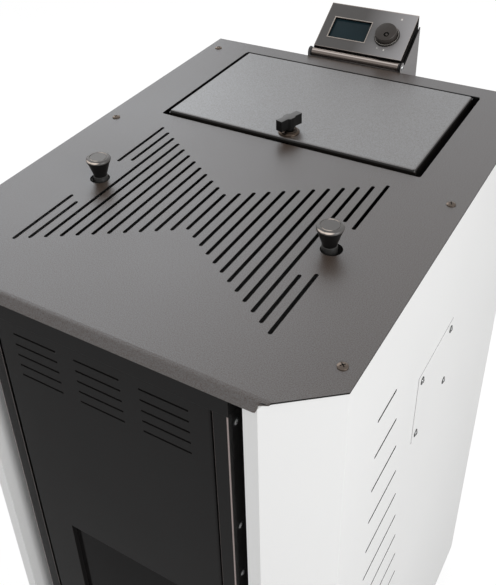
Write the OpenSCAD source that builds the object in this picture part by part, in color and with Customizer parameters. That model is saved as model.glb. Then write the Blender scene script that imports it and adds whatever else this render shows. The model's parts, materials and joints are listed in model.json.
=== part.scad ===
// Free-standing pellet boiler: folded steel casing round a water-jacketed fire box, with a
// pellet hopper under the rear lid. Sizes are in millimetres, +Z is up and the door faces -Y.
// The origin is on the floor, below the middle of the whole appliance.

/* [Casing] */
// Width of the top plate
casing_w = 560; // [540:5:600]
// Depth of the top plate, from the lip to the rear edge
casing_d = 746; // [736:2:760]
// Height of the top plate's surface above the floor
casing_h = 1150; // [1130:5:1200]
// Thickness of the folded sheet
sheet_t = 2; // [1.5:0.1:2.2]
// Sideways run of the cut front corners
corner_x = 69; // [60:1:72]
// Front-to-back run of the cut front corners
corner_y = 57; // [50:1:64]
// Front-to-back run of the sloping front lip
lip_run = 8; // [6:1:12]
// Drop of the sloping front lip
lip_drop = 11; // [8:1:14]
// How far the side panels stand in from the edge of the top plate
side_reveal = 0.6; // [0.4:0.1:1.2]
// Height of the base tray above the floor
base_clear = 40; // [34:1:48]
// Width of the flange on which each side column ends
column_flange = 15; // [12:1:16]
// Depth of the return behind that flange
column_return = 40; // [30:1:42]

/* [Vents] */
// Spacing of the slots in the top plate
slot_pitch = 16; // [15:0.25:16.5]
// Width of the slots in the top plate
slot_w = 5; // [4:0.25:6]
// Length of the middle slot
slot_short = 90; // [80:1:100]
// How much longer each slot is than the one nearer the middle
slot_step = 21.1; // [18:0.1:22]
// Distance of the slot pattern's middle behind the lip
slot_mid_y = 252; // [246:1:258]
// Length of the louvres in the door
louvre_l = 64.5; // [58:0.5:70]
// Width of the louvres in the door
louvre_w = 3; // [2:0.25:4]
// Upright spacing of the louvres in the door
louvre_pitch = 16.3; // [14:0.1:18]
// Sideways spacing of the three groups of louvres
louvre_group = 89.8; // [84:0.2:94]
// Number of slots in each side panel
side_slots = 12; // [8:1:12]
// Width of the slots in the side panels
side_slot_w = 4; // [3:0.25:5]
// Upright spacing of the slots in the side panels
side_slot_pitch = 59; // [54:1:60]

/* [Front] */
// Width of the door
door_w = 298; // [290:1:300]
// Thickness of the door's folded edge
door_t = 18; // [16:0.5:20]
// Gap round the door and the ash drawer
door_gap = 2.5; // [2:0.1:3]
// Distance of the door's face behind the lip
front_set = 16; // [15:0.5:18]
// Height of the header above the door
header_h = 49; // [46:1:52]
// Width over the frame that holds the door
frame_w = 344; // [340:1:348]
// Height of the door
door_h = 749; // [735:1:755]
// Width of the window in the door
window_w = 190; // [176:1:196]
// Height of the window in the door
window_h = 270; // [250:1:280]
// Distance of the window's top edge below the top plate
window_drop = 410; // [405:1:420]
// Depth of the window's recess
window_recess = 7; // [6:0.5:9]
// Thickness of the door's ceramic glass
glass_t = 4; // [3:0.5:5]
// Diameter of the door's hinge pins
hinge_pin_d = 8; // [6:0.5:8]
// Height of the ash drawer's front
drawer_h = 148; // [140:1:150]

/* [Hopper and lid] */
// Width of the opening for the lid
hatch_w = 410; // [400:1:416]
// Front-to-back size of the opening for the lid
hatch_d = 262; // [254:1:264]
// Distance of that opening behind the lip
hatch_y = 450; // [444:1:452]
// Gap between the lid and the sides of its opening
lid_gap = 8; // [6:0.5:9]
// Height of the lid above the top plate
lid_rise = 5; // [3:0.5:6]
// Depth of the lid's folded skirt below its top face
lid_skirt = 25; // [22:0.5:27]
// Inner width of the hopper
hopper_w = 350; // [340:1:352]
// Diameter of the lid's hinge pins
lid_pin_d = 3.6; // [3:0.1:4]

/* [Cleaning knobs] */
// Sideways distance from the middle to each knob
knob_x = 170; // [168:0.5:171]
// Diameter of the hole round each knob
knob_hole_d = 27; // [24:0.5:28]
// Diameter of the knob's head
knob_d = 33; // [29:0.5:34]
// Height of the knob above the top plate
knob_h = 35; // [32:0.5:40]
// Diameter of the cleaning rods
rod_d = 8; // [6:0.5:9]
// How far a knob is pulled up
rod_travel = 100; // [80:1:105]

/* [Display console] */
// Width of the face plate
face_w = 157; // [150:1:160]
// Length of the face plate up its slope
face_l = 82; // [78:1:86]
// Slope of the face plate
face_tilt = 34.8; // [30:0.2:38]
// Sideways place of the face plate's middle
face_x = -21.5; // [-30:0.5:-10]
// Diameter of the bar that the console tilts on
bar_d = 14; // [12:0.5:15]
// Diameter of the turning knob
dial_d = 36; // [32:0.5:38]
// Height of the turning knob
dial_h = 12; // [10:0.5:14]
// Travel of the turning knob when it is pressed
dial_press = 1; // [0.6:0.1:1.4]

/* [Boiler] */
// Width of the water jacket
boiler_w = 430; // [424:1:436]
// Distance of the water jacket's front behind the lip
boiler_y = 50; // [49:0.5:56]
// Front-to-back size of the water jacket
boiler_d = 350; // [346:1:354]
// Thickness of the boiler plate
plate_t = 4; // [3:0.5:5]
// Inner width of the fire box
fire_w = 230; // [224:1:236]
// Inner diameter of the two heat exchanger tubes
flue_tube_d = 60; // [54:1:62]
// Outer diameter of the pellet feed tube
feed_d = 72; // [68:1:74]
// Outer diameter of the flue outlet
flue_d = 80; // [76:1:84]
// Outer diameter of the air intake
air_d = 50; // [46:1:54]
// Inner diameter of the two water ports
port_d = 24.2; // [22:0.1:26]

/* [Hidden] */
$fn = 48;
eps = 0.01;
run = 0.05;       // radial clearance of a running fit
clear = 0.3;      // clearance between pieces that move past each other
screw_fn = 32;

// Overall depth, from the door handle to the back of the console
handle_bar_d = 12;
handle_reach = 14;
y_front = -handle_reach;
cheek_over = 2;
bar_gap = 4;
bar_y = casing_d + bar_gap + bar_d / 2;
face_start = bar_d / 2 + 2.5;
face_level = bar_d / 2 - 1.5;
face_rear = bar_y + (face_start + face_l) * cos(face_tilt) - face_level * sin(face_tilt);
y_back = face_rear + cheek_over;
y_mid = (y_front + y_back) / 2;

// Levels, from the floor
top_z = casing_h;
under_z = top_z - sheet_t;
tray_t = 20;
tray_z = base_clear + tray_t;
casing_x = casing_w / 2;
side_x = casing_x - side_reveal;
flange_set = 4;
back_y = casing_d - 4;

// Front
front_y = front_set;
door_hx = door_w / 2;
frame_hx = frame_w / 2;
header_z = under_z - header_h;
header_out = 2.5;
door_z1 = header_z - door_gap;
door_z0 = door_z1 - door_h;
tab_t = 4;
hinge_tab_d = 22;
drawer_z1 = door_z0 - 2 * door_gap - tab_t;
drawer_z0 = drawer_z1 - drawer_h;
window_z1 = top_z - window_drop;
window_z0 = window_z1 - window_h;
window_hx = window_w / 2;
door_pin_x = -door_hx + 6;
door_pin_y = front_y + 8;
pin_r = hinge_pin_d / 2;
frame_edge_r = 5;
pan_edge_r = 3;
handle_l = 100;

// Lid and hopper
hatch_hx = hatch_w / 2;
hatch_y1 = hatch_y + hatch_d;
lid_hx = hatch_hx - lid_gap - 1.5;
lid_y0 = hatch_y + lid_gap - 2;
lid_y1 = hatch_y1 - lid_gap - 1;
lid_z1 = top_z + lid_rise;
lid_z0 = lid_z1 - lid_skirt;
lid_pin_y = lid_y1 + 5;
lid_pin_z = top_z - 5;
lid_knuckle_d = lid_pin_d + 3.4;
lid_edge_r = 4;
lock_y = lid_y0 + 19;
lock_shaft_d = 9;
lock_ring_d = 31;
lock_ring_h = 4;
lock_knob_z = lid_z1 + lock_ring_h + clear;
wing_l = 41;
wing_w = 10;
wing_h = 16;
wing_turn = 72;
cam_l = 32;
cam_w = 12;
cam_t = 3;
cam_z = under_z - 1 - cam_t;
collar_gap = 2.5;
collar_t = 1.5;
collar_front = 9;
seal_gap = 6;
seal_h = seal_gap - clear;
seal_w = 8;
ledge_z = lid_z0 - seal_gap;
hopper_hx = hopper_w / 2;
hopper_wall = 2;
hopper_y0 = hatch_y + 12;
hopper_y1 = hatch_y1 - 14;

// Feed
feed_z = 600;
feed_r = feed_d / 2;
feed_wall = 4;
feed_y0 = 290;
feed_y1 = 660;
neck_hx = 38;
neck_y0 = 500;
neck_y1 = 570;
neck_z = feed_z + feed_r + 12;
hopper_bend_z = 800;
auger_shaft_d = 20;
auger_pitch = 50;
auger_tip_d = 16;

// Boiler body
boiler_hx = boiler_w / 2;
boiler_y1 = boiler_y + boiler_d;
boiler_z0 = base_clear + 70;
boiler_z1 = top_z - 70;
fire_hx = fire_w / 2;
upper_jacket_h = 300;
fire_y0 = boiler_y + plate_t;
fire_y1 = boiler_y1 - 70;
fire_z0 = boiler_z0 + 80;
fire_z1 = boiler_z1 - upper_jacket_h;
floor_z = 440;
riser_hx = 60;
riser_y0 = 120;
riser_y1 = 280;
tube_r = flue_tube_d / 2;
knob_y = slot_mid_y + 1;
smoke_z0 = boiler_z1 - 80;
smoke_z1 = boiler_z1 - 30;
smoke_hx = knob_x + tube_r + 2;
collect_z0 = 440;
collect_z1 = 500;
collect_hx = smoke_hx;
collect_x0 = knob_x - tube_r - 4;
mouth_hx = 100;
mouth_z0 = window_z0 - 8;
mouth_z1 = window_z1 + 12;
ash_mouth_hx = 108;
ash_mouth_z0 = fire_z0 + 4;
ash_mouth_z1 = drawer_z1 - 10;
rod_r = rod_d / 2;
guide_d = rod_d + 12;
guide_h = 14;
scraper_n = 7;
scraper_t = 3;
scraper_z0 = collect_z1 + 80;
scraper_z1 = smoke_z1 - rod_travel - scraper_t - 6;

// Flue, fan and air
duct_y1 = boiler_y1 + 40;
duct_wall = 2;
fan_x = 110;
fan_z = (collect_z0 + collect_z1) / 2;
fan_r = 85;
fan_y1 = duct_y1 + 60;
fan_inlet_r = 30;
fan_shaft_d = 8;
fan_motor_d = 76;
outlet_x = fan_x + fan_r - 25;
flue_r = flue_d / 2;
flue_x = outlet_x;
flue_z = 260;
elbow_h = 90;
flue_out = 64;
air_r = air_d / 2;
air_x = -80;
air_z = 300;
air_out = 50;
tube_wall = 1.5;

// Water side
pipe_r = 13;
port_r = port_d / 2;
port_len = 16;
port_out = 22;
flow_x = -198;
flow_z = 960;
return_x = -170;
return_z = 160;
pump_y0 = 560;
pump_y1 = 640;
pump_r = (pump_y1 - pump_y0) / 2 - 1;
vessel_x = 20;
vessel_z = 180;
vessel_r = 92;
vessel_d = 84;

// Console
face_hx = face_w / 2;
bar_z = top_z + 4;
cheek_gap = 3;
cheek_t = sheet_t;
cheek_in = face_hx + cheek_gap;
cheek_drop = 14;
bracket_drop = 50;
tray_edge = 20;
housing_wall = 2;
housing_d = 28;
lcd_x0 = face_x - face_hx + 17;
lcd_w = 66.5;
lcd_u0 = 22;
lcd_h = 39.5;
lcd_depth = 3.5;
dial_x = face_x + face_hx - 39;
dial_u = 41;
dial_floor = 1.5;
dial_base_h = 4;
dial_shaft_l = 10;
shaft_d = 6;
light_x = face_x + face_hx - 26;
light_u = face_l - 5;
light_d = 3.2;
pivot_d = 5;

// Electrics
box_x0 = 226;
box_y0 = 440;
box_y1 = 640;
box_z0 = 640;
box_z1 = 900;
inlet_x = 215;
inlet_z = 420;
inlet_w = 48;
inlet_h = 28;
inlet_flange_t = 3;
socket_x0 = inlet_x - 6;
socket_x1 = inlet_x + 19;
socket_hz = 9;
switch_x0 = inlet_x - 20;
switch_x1 = inlet_x - 9;

// Cooling slots in the back panel
rear_slots = 9;
rear_slot_z = 780;
rear_slot_pitch = 18;
rear_slot_l = 160;
rear_slot_w = 4;

// Fasteners
head_d = 12;
head_h = 2.6;
shank_r = 2.5;
small_head_d = 8.5;
small_head_h = 2.4;
cover_y0 = 291;
cover_y1 = 424;
cover_drop = 189;
cover_z1 = top_z - cover_drop;
cover_h = 119;
cover_z0 = cover_z1 - cover_h;
cover_t = 1.5;
cover_inset = 11;

// Helpers
module place() {
    translate([0, -y_mid, 0]) children();
}

module block(x0, x1, y0, y1, z0, z1) {
    translate([x0, y0, z0]) cube([x1 - x0, y1 - y0, z1 - z0]);
}

module both_sides() {
    children();
    mirror([1, 0, 0]) children();
}

module rod_y(r, x, z, y0, y1) {
    translate([x, y0, z]) rotate([-90, 0, 0]) cylinder(r = r, h = y1 - y0);
}

module rod_x(r, y, z, x0, x1) {
    translate([x0, y, z]) rotate([0, 90, 0]) cylinder(r = r, h = x1 - x0);
}

module rod_z(r, x, y, z0, z1) {
    translate([x, y, z0]) cylinder(r = r, h = z1 - z0);
}

// A straight slot with round ends, centred on the origin and running along X
module slot_outline(l, w) {
    square([l - w, w], center = true);
    for (s = [-1, 1]) translate([s * (l - w) / 2, 0]) circle(d = w, $fn = 24);
}

function unit(v) = v / norm(v);

// A point of a sheet's surface, at distance d to the left of its middle line
function beside(points, i, d) =
    let (a = i > 0 ? unit(points[i] - points[i - 1]) : unit(points[1] - points[0]))
    let (b = i < len(points) - 1 ? unit(points[i + 1] - points[i]) : a)
    let (left_a = [-a[1], a[0]])
    let (left_b = [-b[1], b[0]])
    let (m = unit(left_a + left_b))
    points[i] + m * d / (m * left_a);

// Outline of sheet folded along a path of points
module folded(points, t) {
    n = len(points);
    polygon(concat(
        [for (i = [0 : n - 1]) beside(points, i, t / 2)],
        [for (i = [n - 1 : -1 : 0]) beside(points, i, -t / 2)]
    ));
}

// A domed screw head with a cross recess, its axis along +Z
module screw_head(d, h) {
    difference() {
        intersection() {
            cylinder(d = d, h = h, $fn = screw_fn);
            translate([0, 0, h - d * 0.9]) sphere(r = d * 0.9, $fn = screw_fn);
        }
        for (a = [0, 90]) rotate(a)
            translate([-d * 0.25, -d * 0.05, h * 0.45]) cube([d * 0.5, d * 0.1, h]);
    }
}

// Places of the console, measured along and square to the sloping face plate
module on_face(x, u, lift = 0) {
    translate([x, bar_y, bar_z]) rotate([face_tilt, 0, 0])
        translate([0, face_start + u, face_level + lift]) children();
}

// Casing
module base_frame() {
    floor_t = 3;
    tray_hx = side_x - sheet_t;
    tray_y0 = corner_y + 10;
    tray_y1 = back_y - sheet_t;
    plinth_hx = frame_hx - frame_edge_r;
    color("dimgray") place() difference() {
        union() {
            difference() {
                block(-tray_hx, tray_hx, tray_y0, tray_y1, base_clear, tray_z);
                block(-tray_hx + floor_t, tray_hx - floor_t, tray_y0 + floor_t, tray_y1 - floor_t,
                    base_clear + floor_t, tray_z + 1);
            }
            foot_places() translate([0, 0, base_clear]) cylinder(d = 26, h = tray_t);
            both_sides() for (y = [boiler_y + 30, boiler_y1 - 60])
                block(boiler_hx - 60, boiler_hx - 20, y, y + 30, base_clear, boiler_z0);
            block(-plinth_hx, plinth_hx, front_y + sheet_t, tray_y0 + 1, base_clear, base_clear + floor_t);
            block(-plinth_hx, plinth_hx, front_y + sheet_t, front_y + sheet_t + floor_t, base_clear, tray_z);
        }
        foot_places() cylinder(d = foot_stud_d + 2 * run, h = 4 * base_clear, center = true);
    }
}

foot_x = 215;
foot_y0 = 110;
foot_y1 = 680;
foot_stud_d = 10;
foot_pad_d = 44;

module foot_places() {
    both_sides() for (y = [foot_y0, foot_y1]) translate([foot_x, y, 0]) children();
}

module foot(x, y) {
    color("gray") place() translate([x, y, 0]) {
        rotate_extrude() polygon([
            [0, 0], [foot_pad_d / 2 - 2, 0], [foot_pad_d / 2, 2], [foot_pad_d / 2, 7],
            [foot_pad_d / 2 - 8, 12], [9, 12], [9, 20], [0, 20],
        ]);
        cylinder(d = foot_stud_d, h = base_clear + tray_t - 2);
    }
}

module foot_front_left() foot(-foot_x, foot_y0);
module foot_front_right() foot(foot_x, foot_y0);
module foot_rear_left() foot(-foot_x, foot_y1);
module foot_rear_right() foot(foot_x, foot_y1);

module back_panel() {
    color("gainsboro") place() difference() {
        block(-side_x + sheet_t + 0.4, side_x - sheet_t - 0.4, back_y - sheet_t, back_y,
            base_clear, under_z);
        rod_y(flue_r + 1, flue_x, flue_z, back_y - 10, back_y + 10);
        rod_y(air_r + 1, air_x, air_z, back_y - 10, back_y + 10);
        rod_y(pipe_r + 3, flow_x, flow_z, back_y - 10, back_y + 10);
        rod_y(pipe_r + 3, return_x, return_z, back_y - 10, back_y + 10);
        block(inlet_x - inlet_w / 2 + 2, inlet_x + inlet_w / 2 - 2, back_y - 10, back_y + 10,
            inlet_z - inlet_h / 2 + 2, inlet_z + inlet_h / 2 - 2);
        for (i = [0 : rear_slots - 1])
            translate([0, back_y, rear_slot_z + i * rear_slot_pitch]) rotate([90, 0, 0])
                linear_extrude(4 * sheet_t, center = true) slot_outline(rear_slot_l, rear_slot_w);
    }
}

// The right-hand side panel with its cut corner, flanges, slots and service hole
module side_panel() {
    mid_x = side_x - sheet_t / 2;
    fold_x = casing_x - corner_x - side_reveal;
    flange_y = flange_set + sheet_t / 2;
    difference() {
        union() {
            translate([0, 0, base_clear]) linear_extrude(under_z - base_clear) folded([
                [fold_x - column_flange, flange_y + column_return],
                [fold_x - column_flange, flange_y],
                [fold_x, flange_y],
                [mid_x, corner_y + side_reveal + sheet_t / 2],
                [mid_x, back_y + sheet_t / 2],
                [mid_x - 18, back_y + sheet_t / 2],
            ], sheet_t);
            block(mid_x - 34, mid_x, corner_y + 8, back_y - clear - sheet_t, under_z - sheet_t, under_z);
        }
        for (i = [0 : side_slots - 1]) {
            y0 = 147;
            y1 = 203 + 11.5 * i;
            translate([side_x, (y0 + y1) / 2, top_z - 127.5 - side_slot_pitch * i])
                rotate([90, 0, 90]) linear_extrude(4 * sheet_t, center = true)
                    slot_outline(y1 - y0, side_slot_w);
        }
        block(side_x - 10, side_x + 10, cover_y0 + 20, cover_y1 - 20, cover_z0 + 20, cover_z1 - 20);
        for (y = screw_rows) rod_z(shank_r + 0.1, screw_x, y, under_z - 10, under_z + 10);
        above_lip(sheet_t + clear);
    }
}

// Everything above a plane that lies under the sloping lip
module above_lip(depth) {
    translate([-casing_x, lip_run, top_z]) rotate([lip_slope, 0, 0])
        translate([0, -casing_x, -depth]) cube([casing_w, casing_x + sheet_t, casing_x]);
}

module right_side_panel() {
    color("white") place() side_panel();
}

module left_side_panel() {
    color("white") place() mirror([1, 0, 0]) side_panel();
}

module service_covers() {
    color("white") place() both_sides()
        block(side_x, side_x + cover_t, cover_y0, cover_y1, cover_z0, cover_z1);
}

frame_screw_drops = [69, 237, 327, 495, 585, 753, 843, 1011];

module casing_screws() {
    color("silver") place() both_sides() {
        for (y = [cover_y0 + cover_inset, cover_y1 - cover_inset],
             z = [cover_z0 + cover_inset, cover_z1 - cover_inset])
            translate([side_x + cover_t, y, z]) rotate([0, 90, 0]) screw_head(small_head_d, small_head_h);
        for (drop = frame_screw_drops)
            translate([frame_hx, front_y + 12, top_z - drop]) rotate([0, 90, 0])
                screw_head(small_head_d, small_head_h);
    }
}

screw_inset = 20;
screw_x = casing_x - screw_inset;
screw_rows = [85, 407, 706];

lip_low_hx = casing_x - corner_x;
lip_top_hx = lip_low_hx + corner_x * lip_run / corner_y;
lip_slope = atan2(lip_drop, lip_run);
lip_round_r = 7;
lip_round_y = lip_round_r - 1;

// Plan of the top with its two cut corners; the lip's ends are rounded
module top_outline() {
    half = concat(
        [[casing_x, casing_d], [casing_x, corner_y], [lip_top_hx, lip_run]],
        [for (a = [0 : 10 : 90])
            [lip_low_hx - lip_round_r * (1 - cos(a)), lip_round_y - lip_round_r * sin(a)]]
    );
    polygon(concat(half, [for (i = [len(half) - 1 : -1 : 0]) [-half[i][0], half[i][1]]]));
}

// The sheet seen from its end: flat, then folded down along the lip's slope
module top_section() {
    polygon([
        [lip_run, top_z], [casing_d + 1, top_z], [casing_d + 1, under_z],
        [lip_run + sheet_t * tan(lip_slope / 2), under_z],
        [sheet_t * sin(lip_slope), top_z - lip_drop - sheet_t * cos(lip_slope)], [0, top_z - lip_drop],
    ]);
}

// Every vent slot of the top plate; the outer two on each side stop short of the knob
module vent_slots() {
    half_n = 11;
    for (n = [-half_n : half_n]) {
        whole = slot_short + slot_step * abs(n);
        gap = abs(n) == half_n ? 97 : abs(n) == half_n - 1 ? 117 : 0;
        translate([n * slot_pitch, slot_mid_y]) rotate(90) {
            if (gap == 0) slot_outline(whole, slot_w);
            else for (s = [-1, 1]) translate([s * (whole + gap) / 4, 0])
                slot_outline((whole - gap) / 2, slot_w);
        }
    }
}

module top_plate() {
    hatch_r = 4;
    color("#4a4846") place() difference() {
        intersection() {
            translate([-casing_w, 0, 0]) rotate([90, 0, 90]) linear_extrude(2 * casing_w) top_section();
            translate([0, 0, top_z - 2 * lip_drop]) linear_extrude(3 * lip_drop) top_outline();
        }
        translate([0, 0, under_z - 1]) linear_extrude(sheet_t + 2) {
            vent_slots();
            both_sides() translate([knob_x, knob_y]) circle(d = knob_hole_d);
            translate([-hatch_hx + hatch_r, hatch_y]) square([hatch_w - 2 * hatch_r, hatch_d]);
            translate([-hatch_hx, hatch_y + hatch_r]) square([hatch_w, hatch_d - 2 * hatch_r]);
            for (x = [-hatch_hx + hatch_r, hatch_hx - hatch_r],
                 y = [hatch_y + hatch_r, hatch_y1 - hatch_r]) translate([x, y]) circle(r = hatch_r);
            both_sides() for (y = screw_rows) translate([screw_x, y]) circle(r = shank_r + 0.1);
        }
    }
}

module top_screws() {
    color("#6b5f55") place() both_sides() for (y = screw_rows) translate([screw_x, y, top_z]) {
        screw_head(head_d, head_h);
        translate([0, 0, -14]) cylinder(r = shank_r, h = 14 + eps);
    }
}

// Front
module header_panel() {
    color("#2a2929") place() {
        y0 = front_y - header_out + sheet_t;
        block(-frame_hx, frame_hx, y0 - sheet_t, y0, header_z, under_z);
        block(-frame_hx, frame_hx, y0, boiler_y, under_z - sheet_t, under_z);
        both_sides() block(frame_hx - sheet_t, frame_hx, y0, boiler_y, header_z, under_z - sheet_t);
        difference() {
            block(-frame_hx + sheet_t, door_pin_x + 10, y0, front_y + hinge_tab_d,
                header_z, header_z + tab_t);
            rod_z(pin_r + run, door_pin_x, door_pin_y, header_z - 1, header_z + tab_t + 1);
        }
    }
}

module front_frame() {
    strip_in = door_hx + door_gap;
    frame_top = header_z - 0.5;
    color("#2a2929") place() difference() {
        union() {
            both_sides() {
                block(strip_in, frame_hx - frame_edge_r, front_y, front_y + sheet_t, base_clear, frame_top);
                block(frame_hx - sheet_t, frame_hx, front_y + frame_edge_r, boiler_y, base_clear, frame_top);
                translate([frame_hx - frame_edge_r, front_y + frame_edge_r, base_clear])
                    linear_extrude(frame_top - base_clear) intersection() {
                        difference() {
                            circle(r = frame_edge_r);
                            circle(r = frame_edge_r - sheet_t);
                        }
                        translate([0, -frame_edge_r]) square(frame_edge_r);
                    }
            }
            block(-frame_hx + frame_edge_r, frame_hx - frame_edge_r, front_y, front_y + sheet_t,
                base_clear, drawer_z0 - door_gap);
            block(-frame_hx + sheet_t, door_pin_x + 8, front_y + sheet_t, front_y + hinge_tab_d,
                door_z0 - door_gap - tab_t, door_z0 - door_gap);
            block(latch_x + 12, frame_hx - sheet_t, latch_y - 4, latch_y - 1, latch_z - 20, latch_z + 20);
            block(frame_hx - sheet_t - 3, frame_hx - sheet_t, front_y + sheet_t, latch_y - 1,
                latch_z - 20, latch_z + 20);
        }
        rod_z(pin_r + run, door_pin_x, door_pin_y, door_z0 - door_gap - tab_t - 1, door_z0 - door_gap + 1);
    }
}

// Door latch: the cam turns behind a striker on the frame
latch_x = door_hx - 23;
latch_y = front_y + door_t + 6;
latch_z = 560;
latch_l = 24;
spindle_d = 10;

module front_door() {
    color("#242323") place() difference() {
        union() {
            front_pan(door_z0, door_z1);
            window_collar(window_recess);
        }
        block(-window_hx, window_hx, front_y - 1, front_y + window_recess + 1, window_z0, window_z1);
        for (g = [-1 : 1], i = [0 : 4])
            translate([g * louvre_group, front_y, top_z - 70 - i * louvre_pitch]) rotate([90, 0, 0])
                linear_extrude(4 * sheet_t, center = true) slot_outline(louvre_l, louvre_w);
        rod_y(spindle_d / 2 + run, latch_x, latch_z, front_y - 1, front_y + door_t + 1);
        rod_z(pin_r, door_pin_x, door_pin_y, door_z0 - 1, door_z0 + sheet_t + 1);
        rod_z(pin_r, door_pin_x, door_pin_y, door_z1 - sheet_t - 1, door_z1 + 1);
    }
}

// A sheet pan, open at the back, that makes the door or the drawer's front
module front_pan(z0, z1) {
    translate([0, 0, z0]) linear_extrude(z1 - z0) difference() {
        pan_section(0);
        pan_section(sheet_t);
    }
    for (z = [z0, z1 - sheet_t]) translate([0, 0, z]) linear_extrude(sheet_t) pan_section(0);
}

// Plan outline of the pan or, one wall further in, of its inside
module pan_section(inset) {
    r = pan_edge_r - inset;
    x = door_hx - inset;
    y0 = front_y + inset;
    translate([-x, y0 + r]) square([2 * x, door_t - inset - r + (inset > 0 ? 1 : 0)]);
    translate([-x + r, y0]) square([2 * (x - r), door_t - inset]);
    for (s = [-1, 1]) translate([s * (x - r), y0 + r]) circle(r = r);
}

// Walls that lead from the door's face back to the recessed glass
module window_collar(depth) {
    difference() {
        block(-window_hx - sheet_t, window_hx + sheet_t, front_y + sheet_t, front_y + depth,
            window_z0 - sheet_t, window_z1 + sheet_t);
        block(-window_hx, window_hx, front_y, front_y + depth + 1, window_z0, window_z1);
    }
}

module door_inner_frame() {
    y0 = front_y + door_t;
    color("#3a3836") place() difference() {
        union() {
            block(-mouth_hx - 26, mouth_hx + 12, y0, y0 + 8, mouth_z0 - 26, mouth_z1 + 26);
            block(-door_hx + sheet_t, door_hx - sheet_t, y0 - 3, y0, mouth_z1 + 30, mouth_z1 + 60);
            block(-door_hx + sheet_t, door_hx - sheet_t, y0 - 3, y0, mouth_z0 - 60, mouth_z0 - 30);
            both_sides() block(window_hx + 12, window_hx + 20, y0 - 3, y0, mouth_z0 - 30, mouth_z1 + 30);
        }
        block(-window_hx + 6, window_hx - 6, y0 - 4, y0 + 9, window_z0 + 6, window_z1 - 6);
    }
}

module door_glass() {
    y0 = front_y + window_recess;
    color([0.1, 0.1, 0.11, 0.6]) place()
        block(-window_hx - 8, window_hx + 8, y0, y0 + glass_t, window_z0 - 8, window_z1 + 8);
}

module door_seal() {
    y0 = front_y + door_t + 8;
    color("#55524c") place() difference() {
        block(-mouth_hx - 12, mouth_hx + 10, y0, boiler_y - clear, mouth_z0 - 14, mouth_z1 + 14);
        block(-mouth_hx - 2, mouth_hx + 2, y0 - 1, boiler_y + 1, mouth_z0 - 4, mouth_z1 + 4);
    }
}

module door_hinge_pins() {
    color("silver") place() {
        rod_z(pin_r, door_pin_x, door_pin_y, door_z0 - door_gap - tab_t, door_z0 + 14);
        rod_z(pin_r, door_pin_x, door_pin_y, door_z1 - 14, door_z1 + door_gap + tab_t);
    }
}

module door_handle() {
    bar_y0 = y_front + handle_bar_d / 2;
    color("#1c1c1c") place() {
        rod_y(spindle_d / 2, latch_x, latch_z, bar_y0, latch_y);
        rod_y(11, latch_x, latch_z, front_y - 4, front_y - clear);
        rod_z(handle_bar_d / 2, latch_x, bar_y0, latch_z - handle_l, latch_z);
        for (z = [latch_z - handle_l, latch_z]) translate([latch_x, bar_y0, z]) sphere(d = handle_bar_d);
    }
}

module latch_cam() {
    color("silver") place() {
        rod_y(8, latch_x, latch_z, latch_y, latch_y + 3);
        block(latch_x - 5, latch_x + 5, latch_y, latch_y + 3, latch_z, latch_z + latch_l);
    }
}

module ash_drawer() {
    tray_hx = ash_mouth_hx - 3;
    tray_y0 = front_y + door_t + 8;
    tray_y1 = fire_y1 - 14;
    tray_z0 = ash_mouth_z0 + clear;
    tray_z1 = ash_mouth_z1 - 10;
    tray_wall = 2;
    color("#242323") place() {
        front_pan(drawer_z0, drawer_z1);
        difference() {
            block(-tray_hx, tray_hx, tray_y0, tray_y1, tray_z0, tray_z1);
            block(-tray_hx + tray_wall, tray_hx - tray_wall, tray_y0 + tray_wall, tray_y1 - tray_wall,
                tray_z0 + tray_wall, tray_z1 + 1);
        }
        both_sides() block(60, 80, front_y + sheet_t - eps, tray_y0 + 1, drawer_z0 + 30, drawer_z1 - 40);
    }
}

module drawer_handle() {
    z = drawer_z1 - 42;
    hx = 60;
    y = y_front + handle_bar_d / 2;
    color("#1c1c1c") place() {
        rod_x(handle_bar_d / 2, y, z, -hx - 16, hx + 16);
        for (s = [-1, 1]) rod_y(handle_bar_d / 2 - 1.5, s * hx, z, y, front_y);
        for (s = [-1, 1]) translate([s * (hx + 16), y, z]) sphere(d = handle_bar_d);
    }
}

// Lid
module hopper_lid() {
    color("#4a4846") place() difference() {
        union() {
            difference() {
                lid_block(0);
                lid_block(sheet_t);
                block(-cam_l + 2, cam_w / 2 + 3, lid_y0 - 1, lid_y0 + sheet_t + 1,
                    cam_z - 1.5, cam_z + cam_t + 1.5);
            }
            both_sides() {
                rod_x(lid_knuckle_d / 2, lid_pin_y, lid_pin_z, 132, 144);
                block(132, 144, lid_y1 - sheet_t, lid_pin_y, lid_pin_z - 1.5, lid_pin_z + 1.5);
            }
        }
        both_sides() rod_x(lid_pin_d / 2 + run, lid_pin_y, lid_pin_z, 131, 145);
        rod_z(lock_shaft_d / 2 + run, 0, lock_y, lid_z0, lid_z1 + 1);
    }
}

// The lid's outer or inner form, drawn in by a wall, with its top edges rounded
module lid_block(inset) {
    r = lid_edge_r - inset;
    hx = lid_hx - inset;
    y0 = lid_y0 + inset;
    y1 = lid_y1 - inset;
    z1 = lid_z1 - inset;
    block(-hx, hx, y0, y1, lid_z0 - inset, z1 - r);
    block(-hx + r, hx - r, y0 + r, y1 - r, z1 - r - 1, z1);
    for (y = [y0 + r, y1 - r]) rod_x(r, y, z1 - r, -hx + r, hx - r);
    for (s = [-1, 1]) rod_y(r, s * (hx - r), z1 - r, y0 + r, y1 - r);
    for (s = [-1, 1], y = [y0 + r, y1 - r]) translate([s * (hx - r), y, z1 - r]) sphere(r = r);
}

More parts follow.
